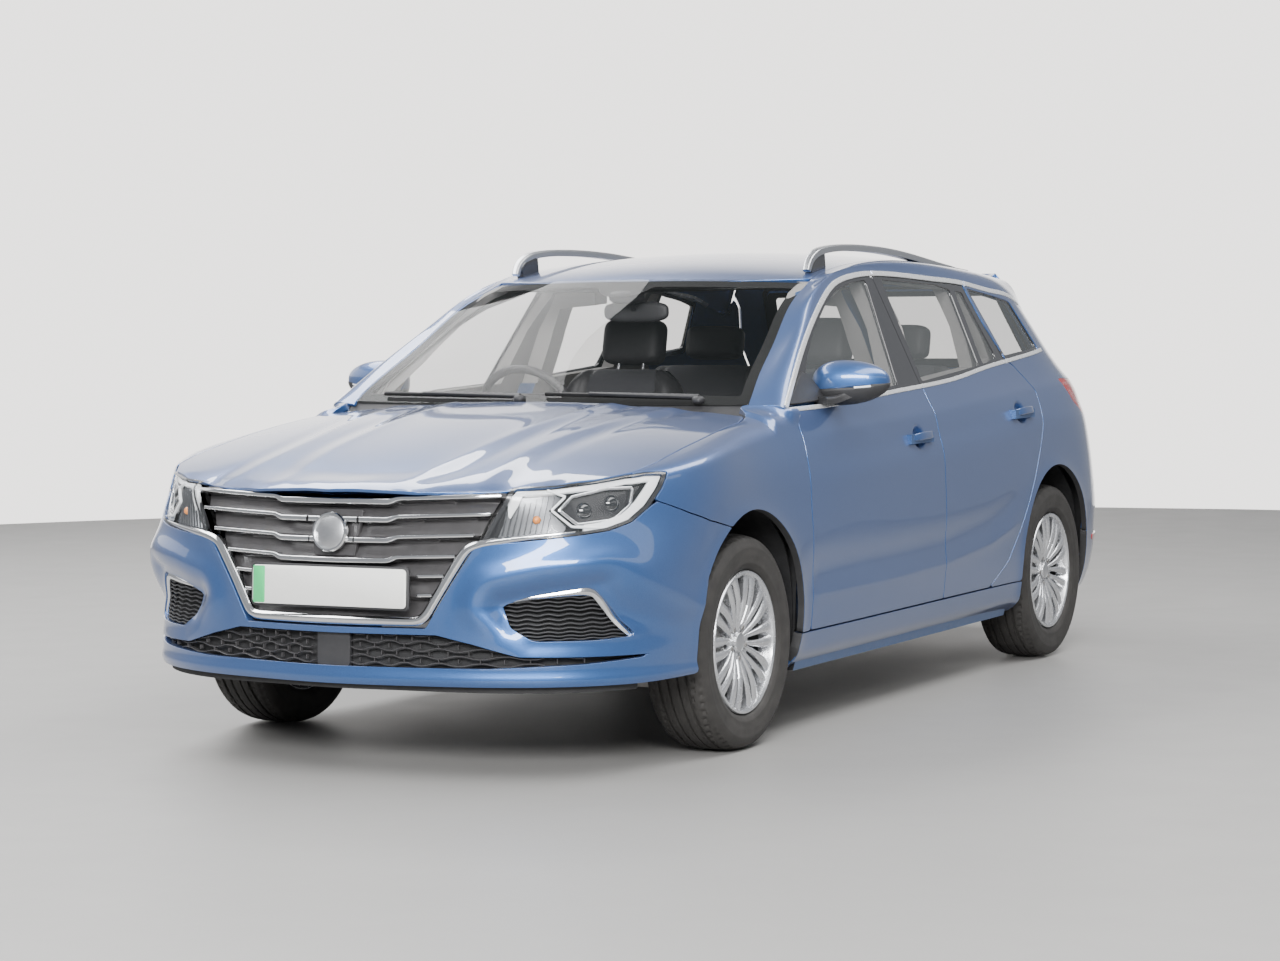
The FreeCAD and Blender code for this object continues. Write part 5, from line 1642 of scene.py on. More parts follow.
def grilleBars():
    g = grilleShape
    for n, (height, thick) in enumerate(g["bars"]):
        reach = np.interp(height, [467, 668, 760, 832], [284, 412, 486, 505]) + (20 if height > 640 else 4)
        flap = flapHalf(height)
        clear = g["flapClear"] if n == 1 else 2  # room for the flap to swing
        if n > 3:
            spans = [(272, reach, "a", "body"), (-reach, -272, "b", "body")]
        elif n in (1, 2):
            spans = [(flap + clear, reach, "a", "body"), (-reach, -flap - clear, "b", "body"),
                     (2 - flap, flap - 2, "Flap", "charge_flap")]
        else:
            spans = [(-reach, reach, "", "body")]
        for x0, x1, tag, body in spans:
            x = np.linspace(x0, x1, max(12, int((x1 - x0) / 11)))
            a = np.abs(x)
            step = smoothStep((a - g["kink"]) / 34)
            point, normal = nosePlane(x, height + 9 * step + 0.035 * np.maximum(a - g["kink"], 0),
                                      -14 - 5 * step)
            size = columns(1.0 - 0.30 * step - 0.1 * np.clip((a - 300) / 250, 0, 1), np.ones(len(x)))
            sweep(f"grilleBar{n + 1}{tag}", point, normal, barProfile(thick + 5, 17, 4.5, 4), chrome, size,
                  body=body, slot="chrome")


# the bright frame: along the foot of the grille, up its sides and out under each lamp
def noseFrame():
    path = np.vstack([along([(0, 451), (150, 451), (291, 452)], 24, False)[:-1],
                      along([(291, 452), (352, 553), (421, 660)], 24, False)[:-1],
                      along([(421, 660), (470, 676), (560, 689), (700, 705)], 40, False)])
    x, z = soften(path, 6).T
    width = np.concatenate([np.full(23, 26.0), np.full(23, 27.0), np.linspace(26, 5, 40)])
    width = np.concatenate([width[::-1], width[1:]]) / 26
    point, normal = nosePlane(np.concatenate([-x[::-1], x[1:]]), np.concatenate([z[::-1], z[1:]]),
                              -1.5)
    sweep("noseFrame", point, normal, rounded([(-13, -16), (13, -16), (13, 2), (6, 9), (-6, 9), (-13, 2)],
                                              [0.3, 0.3, 2, 3, 3, 2], 3), chrome,
          columns(width, np.clip(width, 0.35, 1)), body="body", slot="chrome")


# a line with its corners eased; its two ends stay
def soften(path, rounds):
    path = path.copy()
    for _ in range(rounds):
        path[1:-1] = (path[:-2] + 2 * path[1:-1] + path[2:]) / 4
    return path


# where a part stands on the skin: its place and the turn that faces it outwards along +x
def standing(points, normals):
    return Matrix.Translation(points[0] * 0.001) @ Vector(normals[0]).to_track_quat("X",
                                                                                    "Z").to_matrix().to_4x4()


plateShape = {"height": 546, "tilt": -3, "board": (520, 111, 3, 14), "band": (41, 107, 3.2, 5),
              "bandX": -237.5}


# blank plate, its coloured band and its holder, all put by one matrix
def plate(names, put, holder, behind, body):
    for name, size, material, shift in ((names[0], plateShape["board"], plateWhite, (0, 0, 0)),
                                        (names[1], plateShape["band"], plateGreen,
                                         (plateShape["bandX"], -0.6, 0)),
                                        (names[2], holder, grainBlack, (0, behind, 0))):
        item = makeObject(name, *boardMesh(*size), material)
        item.data.transform(put @ moved(*shift))
        assign(item, body)


def badgeAndPlate():
    put = standing(*nosePlane(np.array([0.0]), np.array([700.0]), np.array([6.0])))
    for name, profile, material in (
            ("badgeRing", [(57, -6), (58, 4), (55, 9), (50, 9), (48, 4), (48, -6)], chrome),
            ("badgeFace", [(0, -6), (49, -6), (49, 2), (44, 4.5), (0, 6)], satinMetal)):
        item = lathe(name, profile, (0, 0, 0), material, 64, "charge_flap", angle=25)
        item.data.transform(put)
    x, z = grid(-96, 96, 636, 812, 4)
    field = within(np.abs(x) - flapHalf(z), 634 - z, z - 767)
    panel("chargeFlapFace", nosePlane(x, z, -19.0)[0], field, grilleGrey, [(0.8, 0.8), (1, 14)],
          "charge_flap", "charge_flap")
    height = plateShape["height"]
    y = nosePlane(np.array([0.0]), np.array([float(height)]), np.array([4.5]))[0][0][1]
    plate(("plateBoard", "plateBand", "plateHolder"), moved(0, y, height) @ turned(plateShape["tilt"], "X"),
          (534, 124, 8, 16), 7, "body")


# a rounded board in the x-z plane facing -y
def boardMesh(width, height, thick, corner):
    w, h = width / 2, height / 2
    loop, inner = (rounded([(-a, -b), (a, -b), (a, b), (-a, b)], c, 5)
                   for a, b, c in ((w, h, corner), (w - 1, h - 1, corner - 1)))
    n = len(loop)
    verts = [(x, -thick / 2, z) for x, z in inner] + [(x, -thick / 2 + 0.8, z) for x, z in loop] \
        + [(x, thick / 2, z) for x, z in loop]
    faces = [tuple(range(n)), tuple(range(3 * n - 1, 2 * n - 1, -1))]
    faces += [(a + k, a + n + k, a + n + (k + 1) % n, a + (k + 1) % n) for a in (0, n) for k in range(n)]
    return np.array(verts), faces


honeycomb = {"cell": 46.0, "rib": 2.4, "rise": 21, "rows": 6, "first": 308, "depth": 24, "coverHalf": 62}


# the low intake: a dark bed, a honeycomb of ribs and the square sensor cover
def intakeMesh():
    h = honeycomb
    cell = h["cell"]
    s, z = grid(-740, 740, 296, 430, 7)
    deep = flipped(surfaceAt(np.abs(s), z, -40.0, True)[0], s >= 0)
    panel("intakeBed", deep, outlineDistance(intakeEdge, np.abs(s), z) - 12, undertrayBlack, [(1, 4)], "body",
          "lower_intake")
    ribs = []

    def rib(x, z):
        point, normal = (flipped(part, x >= 0) for part in surfaceAt(np.abs(x), z, -h["depth"], True))
        ribs.append(sweep("rib", point, normal, barProfile(h["rib"], 12, 0.8, 1), grilleGrey))

    x = np.linspace(-600, 600, 601)
    for row in range(h["rows"]):  # the slanted walls of each row, in runs that stay inside the intake
        zig = np.abs(((x + (cell if row % 2 else 0)) / cell) % 2 - 1)
        z = h["first"] + row * h["rise"] + 8.5 * (np.clip(zig, 0.25, 0.75) - 0.5) * 2
        keep = (outlineDistance(intakeEdge, np.abs(x), z) < -2) & (np.abs(x) >= h["coverHalf"])
        for run in np.split(np.arange(len(x)), np.nonzero(np.diff(keep))[0] + 1):
            if keep[run[0]] and len(run) > 12:
                rib(x[run][::6], z[run][::6])
    for place in np.arange(-575, 576, cell):  # the upright walls between two rows
        for row in range(h["rows"] - 1):
            height = h["first"] + h["rise"] / 2 + row * h["rise"]
            at = place + (cell / 2 if row % 2 else 0)
            inside = -outlineDistance(intakeEdge, np.array([abs(at)]), np.array([height]))[0]
            if abs(at) >= 70 and inside >= 9:
                rib(np.full(3, at), np.linspace(height - 6, height + 6, 3))
    joinPieces("intakeHoneycomb", ribs, "body")
    x, z = grid(-58, 58, 312, 420, 6)
    field = outlineDistance(rounded([(-54, 318), (54, 318), (54, 414), (-54, 414)], 8), x, z)
    panel("sensorCover", nosePlane(x, z, -16.0)[0], field, grainBlack, [(1, 1), (1.4, 18)], "body")


pocketShape = {
    "bedDepth": 34, "wires": 11, "wireFirst": 402, "wireRise": 11.5, "wireDepth": 22, "wave": 2.0,
    "blade": ([(448, 497), (500, 517), (560, 531), (598, 537)], [(598, 537), (612, 534), (622, 522)],
              [(622, 522), (642, 478), (668, 428), (684, 402)]),
    "widthAt": [0, 0.06, 0.3, 0.5, 0.62, 0.9, 1], "width": [0.12, 0.45, 0.9, 1.15, 1.2, 0.72, 0.5],
}


def fogPockets():
    p = pocketShape
    s, z = grid(430, 715, 380, 565, 5)
    bed = panel("bed", surfaceAt(s, z, -p["bedDepth"])[0], outlineDistance(pocketEdge, s, z) - 9,
                undertrayBlack, [(2, 3)])
    bothSides(bed, "fogPocketBed", "body", None)
    wires = []
    for row in range(p["wires"]):
        s = np.linspace(440, 700, 88)
        z = p["wireFirst"] + row * p["wireRise"] + p["wave"] * np.sin(s / 6.0)
        keep = outlineDistance(pocketEdge, s, z) < 6
        if keep.sum() >= 8:
            wires.append(sweep("wire", *surfaceAt(s[keep], z[keep], -p["wireDepth"]),
                               barProfile(4.4, 9, 1.5, 1), grainBlack))
    bothSides(joinPieces("wires", wires), "fogPocketMesh", "body", None)
    lead, corner, fall = (along(part, count) for part, count in zip(p["blade"], (30, 8, 26)))
    path = soften(np.vstack([lead, corner[1:], fall[1:]]), 4)
    width = np.interp(np.linspace(0, 1, len(path)), p["widthAt"], p["width"])
    blade = sweep("blade", *surfaceAt(path[:, 0], path[:, 1], -13),
                  rounded([(-11, -4), (11, -4), (11, 3), (2, 9), (-11, 4)], [0.3, 0.3, 1.5, 2, 1.5], 3),
                  chrome, columns(width, np.clip(width, 0.5, 1)))
    bothSides(blade, "fogBlade", "body", None)


# pieces cut one behind another from the same skin, each as
# (name, depth below the skin, cut, material, rings, finish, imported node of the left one)
def layers(point, normal, body, rows, flip=False):
    for stem, depth, cut, material, rings, slot, *node in rows:
        if (cut < 0).any():
            item = panel("layer", point - normal * depth, cut, material, rings, flip=flip)
            bothSides(item, stem, body, None)
            if node and node[0]:
                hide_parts(node[0])


lampShape = {
    "hexagon": [(560, 768), (584, 806), (650, 826), (700, 826), (690, 776), (655, 738), (590, 728)],
    "arrow": [(540, 826), (572, 806), (546, 768), (580, 722), (640, 716)],
    "reflector": [(448, 690), (476, 790), (500, 818), (540, 826), (568, 806), (542, 768), (572, 722),
                  (560, 700)],
    "eyes": [(607, 768), (660, 786)], "eyeRadius": 27, "bulb": (520, 742), "fins": 9,
}


def headlamps():
    p = lampShape
    s, v = np.meshgrid(np.linspace(400, 800, 72),
                       np.concatenate([np.linspace(0.52, 1, 44), np.linspace(1, 2, 13)[1:]]), indexing="ij")
    point, below = shoulderPoint(s, v)
    z, normal = point[..., 2], gridNormals(point)
    field = lampField(s, z, below)
    guide = within(field + 9, -field - 27, 470 - s, np.where(z < 735, 600 - s, -99))
    layers(point, normal, "body", (
        ("headlampLens", 0, field + 1.0, lensClear, [(0.6, 0.8), (0.8, 8)], "lamp"),
        ("headlampBowl", 46, field - 4, lampBlack, [(2, -10), (4, -34)], "black_plastic", "headlamps"),
        ("headlampSeal", 2.0, within(field + 1.0, -field - 9), lampBlack, [], "black_gloss"),
        ("headlampGuide", 12, guide, lampGuide, [(0.6, 1), (1, 14)], "lamp")))
    loop = along(p["hexagon"] + p["hexagon"][:1], 60, False)[:-1]
    ring = sweep("ring", *surfaceAt(loop[:, 0], loop[:, 1], -20.0, True), barProfile(9, 8, 3, 3),
                 reflectorSilver, closed=True)
    bothSides(ring, "headlampHexFrame", "body", None)
    bothSides(wayPanel(p["hexagon"], -30.0, lampBlack), "headlampBay", "body", None)
    path = along(p["arrow"], 50, False)
    arrow = sweep("arrow", *surfaceAt(path[:, 0], path[:, 1], -16.0, True), barProfile(7, 7, 2.5, 3),
                  lampGuide)
    bothSides(arrow, "headlampArrow", "body", None)
    r = p["eyeRadius"]
    eye = [(0, 18), (r * 0.45, 16.5), (r * 0.8, 11), (r, 2), (r, -4), (0, -4)]
    eyeRing = [(r + 1, -2), (r + 4, -2), (r + 4, 6), (r + 1, 5)]
    for k, (way, height) in enumerate(p["eyes"]):
        put = standing(*surfaceAt(np.array([way]), np.array([height]), -38.0, True))
        for stem, profile, material, slot in (("headlampEye", eye, screenBlack, "lamp"),
                                              ("headlampEyeRing", eyeRing, reflectorSilver, "chrome")):
            item = lathe("eye", profile, (0, 0, 0), material, 40)
            item.data.transform(put)
            bothSides(item, f"{stem}{k + 1}", "body", None)
    bothSides(wayPanel(p["reflector"], -26.0, lampGrey), "headlampTurnReflector", "body", None)
    bulb = superBall("bulb", (0, 0, 0), (12, 12, 12), amberLens, power=2.0, segments=20, rings=12)
    spot = surfaceAt(np.array([float(p["bulb"][0])]), np.array([float(p["bulb"][1])]), -22.0, True)[0][0]
    bulb.data.transform(moved(*spot))
    bothSides(bulb, "headlampTurnBulb", "body", None)
    fins = []
    for k in range(p["fins"]):
        z = np.linspace(694 + 1.2 * k, 770 + 6 * k, 12)
        z = z[z < 815]
        path, normal = surfaceAt(455 + 10 * k + (z - 694) * 0.16, z, -24.0, True)
        fins.append(sweep("fin", path, normal, barProfile(2.2, 8, 0.8, 1), lampGrey))
    bothSides(joinPieces("fins", fins), "headlampFins", "body", None)


# a piece cut from the skin by an outline of way values and heights
def wayPanel(outline, off, material):
    (s0, z0), (s1, z1) = np.min(outline, axis=0) - 8, np.max(outline, axis=0) + 8
    s, z = grid(s0, s1, z0, z1, 6)
    return panel("part", surfaceAt(s, z, off, True)[0], outlineDistance(outline, s, z), material,
                 [(0.6, 1), (1, 12)])


grilleBack()
grilleBars()
noseFrame()
badgeAndPlate()
intakeMesh()
fogPockets()
headlamps()
print("stage: nose and headlamps")


# grid normals turned to point away from the car
def facingOut(point):
    normal = gridNormals(point)
    out = (normal[..., :2] * point[..., :2]).sum(axis=-1)
    return normal * np.where(out.mean() < 0, -1, 1)


def tailLamps():
    t, z = grid(400, 1110, 880, 1060, 6)
    point = tailPoint(t, z)
    lamp = outlineDistance(tailLampEdge, t, z)
    gate = outlineDistance(tailgateEdge, point[..., 0], z)
    for name, cut, body, node, core in (("Outer", -gate + seam, "body", "tail_lamps", reflectorRed),
                                        ("Inner", gate + seam, "tailgate", None, lampGrey)):
        field = within(lamp, cut)
        layers(point, facingOut(point), body, (
            ("tailLens" + name, 0, field + 0.8, lensRed, [(0.6, 0.8), (0.8, 9)], "tail_lens", node),
            ("tailBowl" + name, 34, field - 5, lampBlack, [(2, -8), (4, -24)], "black_plastic"),
            ("tailGuide" + name, 9, within(np.abs(lamp + 26) - 6, field + 10), reflectorRed,
             [(0.8, 1), (1, 12)], "tail_lens"),
            ("tailReflector" + name, 18, within(lamp + 46, field + 12), core, [(0.8, 1), (1, 8)], "lamp"),
        ), True)


spoilerShape = {"half": 520, "lip": 118, "lipFade": 0.66, "tipY": 1748, "tipSweep": 88, "lightHalf": 140,
                "section": [(0, 0, 1447), (0.35, 0, 1446), (0.72, 0, 1438), (1, -5, 1427), (1, 0, 1422),
                            (1, -2, 1415), (1, -14, 1412), (0.6, 0, 1411), (0.2, 0, 1414), (0, 0, 1420)]}


# the lip that carries the roof line past the tailgate glass, with the high brake light in its edge
def spoiler():
    p = spoilerShape
    crown = roofHeight(np.zeros(1), np.array([1560.0]))[0]
    verts = []
    stations = np.linspace(-p["half"], p["half"], 97)
    for x in stations:
        a = abs(x) / p["half"]
        drop = roofHeight(np.array([x]), np.array([1560.0]))[0] - crown
        lip = p["lip"] * (1 - p["lipFade"] * a ** 4)
        tip = p["tipY"] - p["tipSweep"] * a ** 2.4
        verts += [(x, tip - lip + share * lip + dy, z + drop * 0.55) for share, dy, z in p["section"]]
    n, rows = len(p["section"]), len(stations)
    faces = [(i * n + j, (i + 1) * n + j, (i + 1) * n + (j + 1) % n, i * n + (j + 1) % n)
             for i in range(rows - 1) for j in range(n)]
    faces += [tuple(range(n)), tuple(range(rows * n - 1, (rows - 1) * n - 1, -1))]
    solid("spoiler", verts, faces, paintBlue, 40, "tailgate", None, "paint")
    x = np.linspace(-p["lightHalf"], p["lightHalf"], 21)
    path = columns(x, p["tipY"] + 1 - p["tipSweep"] * (np.abs(x) / p["half"]) ** 2.4, 0 * x + 1418.5)
    sweep("highBrakeLight", path, (0, 1, 0), barProfile(7, 2.5, 1, 2), lensRed, body="tailgate",
          slot="tail_lens")


def rearDetails():
    low, centre, high = tailPoint(np.zeros(3), np.array([690.0, 738.0, 786.0]))
    lean = Matrix.Rotation(-math.atan2(high[1] - low[1], 96), 4, "X")
    plate(("rearPlate", "rearPlateBand", "rearPlateHolder"),
          moved(0, centre[1] - 8, 738) @ lean @ turned(180, "Z"), (534, 124, 6, 16), 5, "tailgate")
    # bright strip over the plate
    x = np.linspace(-300, 300, 61)
    z = 828 + 3 * (1 - (x / 300) ** 2)
    edge = tailPoint(x, z)
    sweep("tailgateStrip", columns(edge[:, 0], edge[:, 1] - 4, z), (0, 1, 0), barProfile(20, 12, 4),
          chrome, body="tailgate", slot="chrome")
    # plain round badge, under the glass
    low, centre, high = tailPoint(np.zeros(3), np.array([885.0, 925.0, 965.0]))
    disc = lathe("rearBadge", [(0, -8), (46, -8), (46, 4), (42, 7), (38, 5.4), (0, 6.6)], (0, 0, 0),
                 satinMetal, 64, "tailgate")
    disc.data.transform(moved(*centre) @ Matrix.Rotation(-math.atan2(high[1] - low[1], 80), 4, "X")
                        @ turned(90, "Z"))
    # reflectors low in the bumper
    t, z = grid(560, 760, 395, 440, 6)
    base = tailPoint(t, z)
    shape = outlineDistance(rounded([(575, 404), (740, 408), (750, 430), (590, 430)], 8), t, z)
    reflect = panel("reflect", base + facingOut(base) * 3, shape, reflectorRed, [(0.6, 0.8), (0.8, 10)],
                    flip=True)
    bothSides(reflect, "bumperReflector", "body", None)
    # rear wiper
    foot = tailPoint(np.array([0.0]), np.array([1058.0]))[0]
    hub = lathe("hub", [(0, -14), (15, -14), (15, 8), (11, 13), (0, 14)], (0, 0, 0), grainBlack, 32)
    hub.data.transform(moved(0, foot[1] - 4, 1058) @ turned(90, "Z"))
    line = along([(0, 1058), (90, 1080), (200, 1098), (330, 1108)], 30)
    arm = sweep("arm", tailPoint(line[:, 0], line[:, 1], True) + (0, 7, 0), (0, 0.93, 0.35),
                barProfile(13, 7, 3), grainBlack, taper((1.2, 0.6), (1, 1), 30))
    base = tailPoint(np.linspace(60, 430, 30), 1092 + 16 * np.linspace(0, 1, 30), True)
    blade = sweep("blade", base + (0, 0.5, 0), (0, 0.93, 0.35), barProfile(8, 8, 2), sealRubber)
    joinPieces("rearWiper", [hub, arm, blade], "tailgate")


# black grained panel between the bonnet's rear edge and the glass, with its row of vents
def cowl():
    x, v = np.meshgrid(np.linspace(-742, 742, 120), np.linspace(0, 1, 12), indexing="ij")
    y0 = fore(256) + 40 * np.clip((np.abs(x) - 500) / 260, 0, 1) ** 2
    z0 = bonnetHeight(x, y0) - 26
    foot = screenPoint(np.clip(x / 716, -1, 1), np.zeros_like(x))
    y = y0 + (foot[..., 1] + 10 - y0) * v
    z = z0 + (foot[..., 2] - 2 - z0) * v ** 1.4 - 10 * np.sin(math.pi * v)
    panel("cowlPanel", columns(x, y, z), np.full(x.shape, -9.0), grainBlack, [], "body")
    slots = []
    for k in [k for k in range(-15, 16) if k]:
        x, y = np.full(5, 38.0 * k), fore(276) + 5.0 * np.arange(5)
        slots.append(sweep("slot", columns(x, y, bonnetHeight(x, y) - 29), (0, 0, 1),
                           barProfile(16, 3, 1, 1), undertrayBlack))
    joinPieces("cowlVents", slots, "body")


wiperShape = {"sweeps": ((560, 20), (-60, -600)), "foot": 0.028, "climb": 0.02, "blade": (9, 12),
              "arm": (14, 9), "taper": (1.25, 0.7), "cap": (19, 19, 13)}


def wiperArms():
    p = wiperShape
    parts = []
    for pivot, tip in p["sweeps"]:
        t = np.linspace(0, 1, 34)
        foot = screenPoint((pivot + (tip - pivot) * t) / 716, p["foot"] + p["climb"] * t)
        t = t[:24]
        arm = foot[:24] + columns(0 * t, -12 - 6 * (1 - t), 10 + 0 * t)
        parts += [sweep("blade", foot + (0, -5, 4), (0, -0.5, 0.86), barProfile(*p["blade"], 2.5),
                        sealRubber),
                  sweep("arm", arm, (0, -0.5, 0.86), barProfile(*p["arm"], 3.5), grainBlack,
                        taper(p["taper"], (1, 1), 24)),
                  superBall("cap", foot[0] + (0, -22, 2), p["cap"], grainBlack, 2.6, 24, 12)]
    joinPieces("wiperSet", parts, "body", "wipers")


def bonnetSeal():
    line = np.array([(x, y) for x, y in bonnetEdge if y < fore(-700)])
    x, y = line[np.argsort(line[:, 0])].T
    x, y = x * 0.955, y + 62
    sweep("bonnetSeal", columns(x, y, bonnetHeight(x, y) - 46), (0, 0, 1), barProfile(16, 12, 5),
          sealRubber, body="body")


def underside():
    s, z = grid(-700, 700, 246, 274, 7)
    point = flipped(surfaceAt(np.abs(s), z, -16.0, True)[0], s >= 0)
    panel("noseTray", point, np.full(s.shape, -9.0), undertrayBlack, [], "body")


# these close the space behind each rear wheel, inside the quarter and the bumper
def archShields():
    for side, sign in zip(sides, (1, -1)):
        verts, faces = boardMesh(246, 520, 6, 30)
        assign(makeObject("archShield_" + side, verts + (722 * sign, 1742, 610), faces, undertrayBlack,
                          smooth=False), "body")


tailLamps()
spoiler()
archShields()
rearDetails()
cowl()
wiperArms()
bonnetSeal()
underside()
print("stage: tail, cowl and wipers")


# a stuffed form: crowned face, rolled edges, sewn seams along it and channels across it
# size is width, length, thickness; put turns its x, y, z (width, length, face) into the car
def cushion(name, size, put, seams=(), channels=(), bolster=0.0, wrap=0.62, crown=10.0, pinch=0.07,
            material=None, sideMaterial=None, count=42):
    w, l, h = size
    t = np.linspace(-1, 1, count)
    t = np.sign(t) * (1 - (1 - np.abs(t)) ** 1.7)
    u, v = np.meshgrid(t, t, indexing="ij")
    x = w / 2 * u * (1 - pinch * v ** 6)
    y = l / 2 * v * (1 - pinch * u ** 6)
    roll = (1 - np.abs(u) ** 9) ** 0.42 * (1 - np.abs(v) ** 9) ** 0.42
    top = h / 2 * roll + crown * (1 - u ** 2) * (1 - v ** 2)
    side = smoothStep((np.abs(u) - wrap) / 0.16) * smoothStep((1.0 - np.abs(u)) / 0.12)
    top += bolster * side * (1 - 0.5 * v ** 4)
    for seam0 in seams:
        top -= 6.5 * bump(np.abs(u) - seam0, 0.018) * roll
    inner = smoothStep((wrap - np.abs(u)) / 0.05)
    for channel in channels:
        top += (2.2 * bump(v - channel - 0.07, 0.06) - 6.0 * bump(v - channel, 0.022)) * inner * roll
    verts = [point for z in (top, -h / 2 * roll * 0.92) for point in zip(x.ravel(), y.ravel(), z.ravel())]
    faces, tags, n = [], [], count
    for i in range(n - 1):
        for j in range(n - 1):
            a, b, c, d = i * n + j, (i + 1) * n + j, (i + 1) * n + j + 1, i * n + j + 1
            faces += [(a, b, c, d), (n * n + d, n * n + c, n * n + b, n * n + a)]
            tags += [0 if abs(u[i, j]) < wrap else 1, 1]
    item = makeObject(name, verts, faces, material or seatCloth)
    if sideMaterial:
        item.data.materials.append(sideMaterial)
        for face, tag in zip(item.data.polygons, tags):
            face.material_index = tag
    editMesh(item, lambda work: bmesh.ops.remove_doubles(work, verts=work.verts, dist=2e-5), faceOut)
    item.data.transform(put)
    assign(item, "body")
    return assign(item)


# lets a cushion's cover settle over its filling with a short cloth run
def swell(item, strength=3.5, most=5.0):
    before = meshPoints(item.data)
    cloth = item.modifiers.new("fill", "CLOTH")
    for name, value in {"quality": 4, "use_pressure": True, "uniform_pressure_force": strength,
                        "tension_stiffness": 25, "compression_stiffness": 25, "bending_stiffness": 4}.items():
        setattr(cloth.settings, name, value)
    cloth.settings.effector_weights.gravity = 0
    cloth.collision_settings.use_collision = False
    cloth.point_cache.frame_start, cloth.point_cache.frame_end = 1, 8
    for step in range(1, 9):
        bpy.context.scene.frame_set(step)
    after = meshPoints(item.evaluated_get(bpy.context.evaluated_depsgraph_get()).data)
    item.modifiers.remove(cloth)
    bpy.context.scene.frame_set(1)
    change = after - before
    far = np.linalg.norm(change, axis=1, keepdims=True)
    change *= np.minimum(1, most * 0.001 / np.maximum(far, 1e-9))
    item.data.vertices.foreach_set("co", (before + change).ravel())
    item.data.update()


# where a back or headrest stands: length up the back, face towards the nose
def leaning(x, y, z, lean):
    return moved(x, y, z) @ turned(90 - lean, "X")


def roundProfile(radius, count):
    turn = np.linspace(0, 2 * math.pi, count, endpoint=False)
    return columns(radius * np.cos(turn), radius * np.sin(turn))


seatShape = {
    "base": 305,
    "front": {"x": 370, "y": fore(1050), "cushion": (500, 470, 118), "back": (494, 590, 100),
              "headrest": (246, 168, 88), "pins": (-50, 50), "rails": (-150, 150)},
    "rear": {"y": fore(1790), "cushion": (1276, 448, 122), "headrest": (236, 128, 82),
             "backs": (("left", 384, 508), ("right", -384, 508), ("middle", 0, 248))},
    "backLean": 15.5, "headrestLean": 12,
}


def buildSeats():
    p = seatShape
    base, lean, headLean = p["base"], p["backLean"], p["headrestLean"]
    front, rear = p["front"], p["rear"]
    covers = []
    for side, sign in zip(sides, (1, -1)):
        x, y = sign * front["x"], front["y"]
        covers.append(cushion("frontSeatCushion_" + side, front["cushion"],
                              moved(x, y + 238, base + 215) @ turned(4, "X") @ turned(180, "Z"), [0.62, 0.9],
                              [-0.62, -0.3, 0.02, 0.34], 24, sideMaterial=seatLeather))
        covers.append(cushion("frontSeatBack_" + side, front["back"], leaning(x, y + 508, base + 520, lean),
                              [0.58, 0.9], [-0.62, -0.34, -0.06, 0.22, 0.5], 28, 0.58, pinch=0.16,
                              sideMaterial=seatLeather))
        covers.append(cushion("frontHeadrest_" + side, front["headrest"],
                              leaning(x, y + 640, base + 898, headLean), [0.9], crown=8, pinch=0.12,
                              material=seatLeather, count=28, wrap=0.8))
        parts = balls(("base", (x, y + 250, base + 78), (205, 205, 74), grainBlack, 6.0, 48, 24),
                      ("recliner", (x + sign * 246, y + 400, base + 250), (9, 62, 40), grainBlack,
                       3.5, 28, 16),
                      *[("rail", (x + dx, y + 250, base + 9), (17, 225, 8), satinMetal, 8.0, 16, 10)
                        for dx in front["rails"]])
        for dx in front["pins"]:
            path = [(x + dx, y + 595 + 4 * k, base + 770 + 14 * k) for k in range(5)]
            parts.append(sweep("pin", path, (0, 1, 0), roundProfile(6, 12), satinMetal))
        joinPieces("frontSeatBase_" + side, parts, "body", "front_seats" if side == "left" else None)
    y = rear["y"]
    covers.append(cushion("rearSeatCushion", rear["cushion"],
                          moved(0, y + 226, base + 218) @ turned(3, "X") @ turned(180, "Z"), [0.235, 0.80],
                          [-0.5, -0.1, 0.3], wrap=0.92, crown=6, pinch=0.05, sideMaterial=seatLeather,
                          count=48))
    for name, x, width in rear["backs"]:
        covers.append(cushion("rearSeatBack_" + name, (width, 590, 98),
                              leaning(x, y + 468, base + 520, lean), [0.7], [-0.6, -0.25, 0.1, 0.45], 8,
                              0.7, sideMaterial=seatLeather, count=38))
        covers.append(cushion("rearHeadrest_" + name, rear["headrest"],
                              leaning(x, y + 598, base + 885, headLean), [0.9], crown=6, pinch=0.12,
                              material=seatLeather, count=26, wrap=0.8))
    plinth, shelf = balls(("plinth", (0, y + 250, base + 77), (600, 205, 76), carpet, 8.0, 48, 20),
                          ("shelf", (0, y + 530, base + 480), (600, 16, 300), carpet, 9.0, 40, 20))
    shelf.data.transform(moved(0, y + 530, base + 480) @ turned(-lean, "X") @ moved(0, -y - 530, -base - 480))
    joinPieces("rearSeatBase", [plinth, shelf], "body", "rear_seat")
    for cover in covers:
        swell(cover)


# a section in (y, z) carried across the car; squeeze gives per-station scale about its centre
def extrude(name, section, xs, material, squeeze, *put):
    section = np.asarray(section, float)
    centre = section.mean(axis=0)
    verts = [(x, y, z) for x, scale in zip(xs, squeeze) for y, z in centre + (section - centre) * scale]
    faces = rowFaces(len(xs), len(section)) + [end[::-1] for end in endFaces(len(xs), len(section))]
    return solid(name, verts, faces, material, 38, *put)


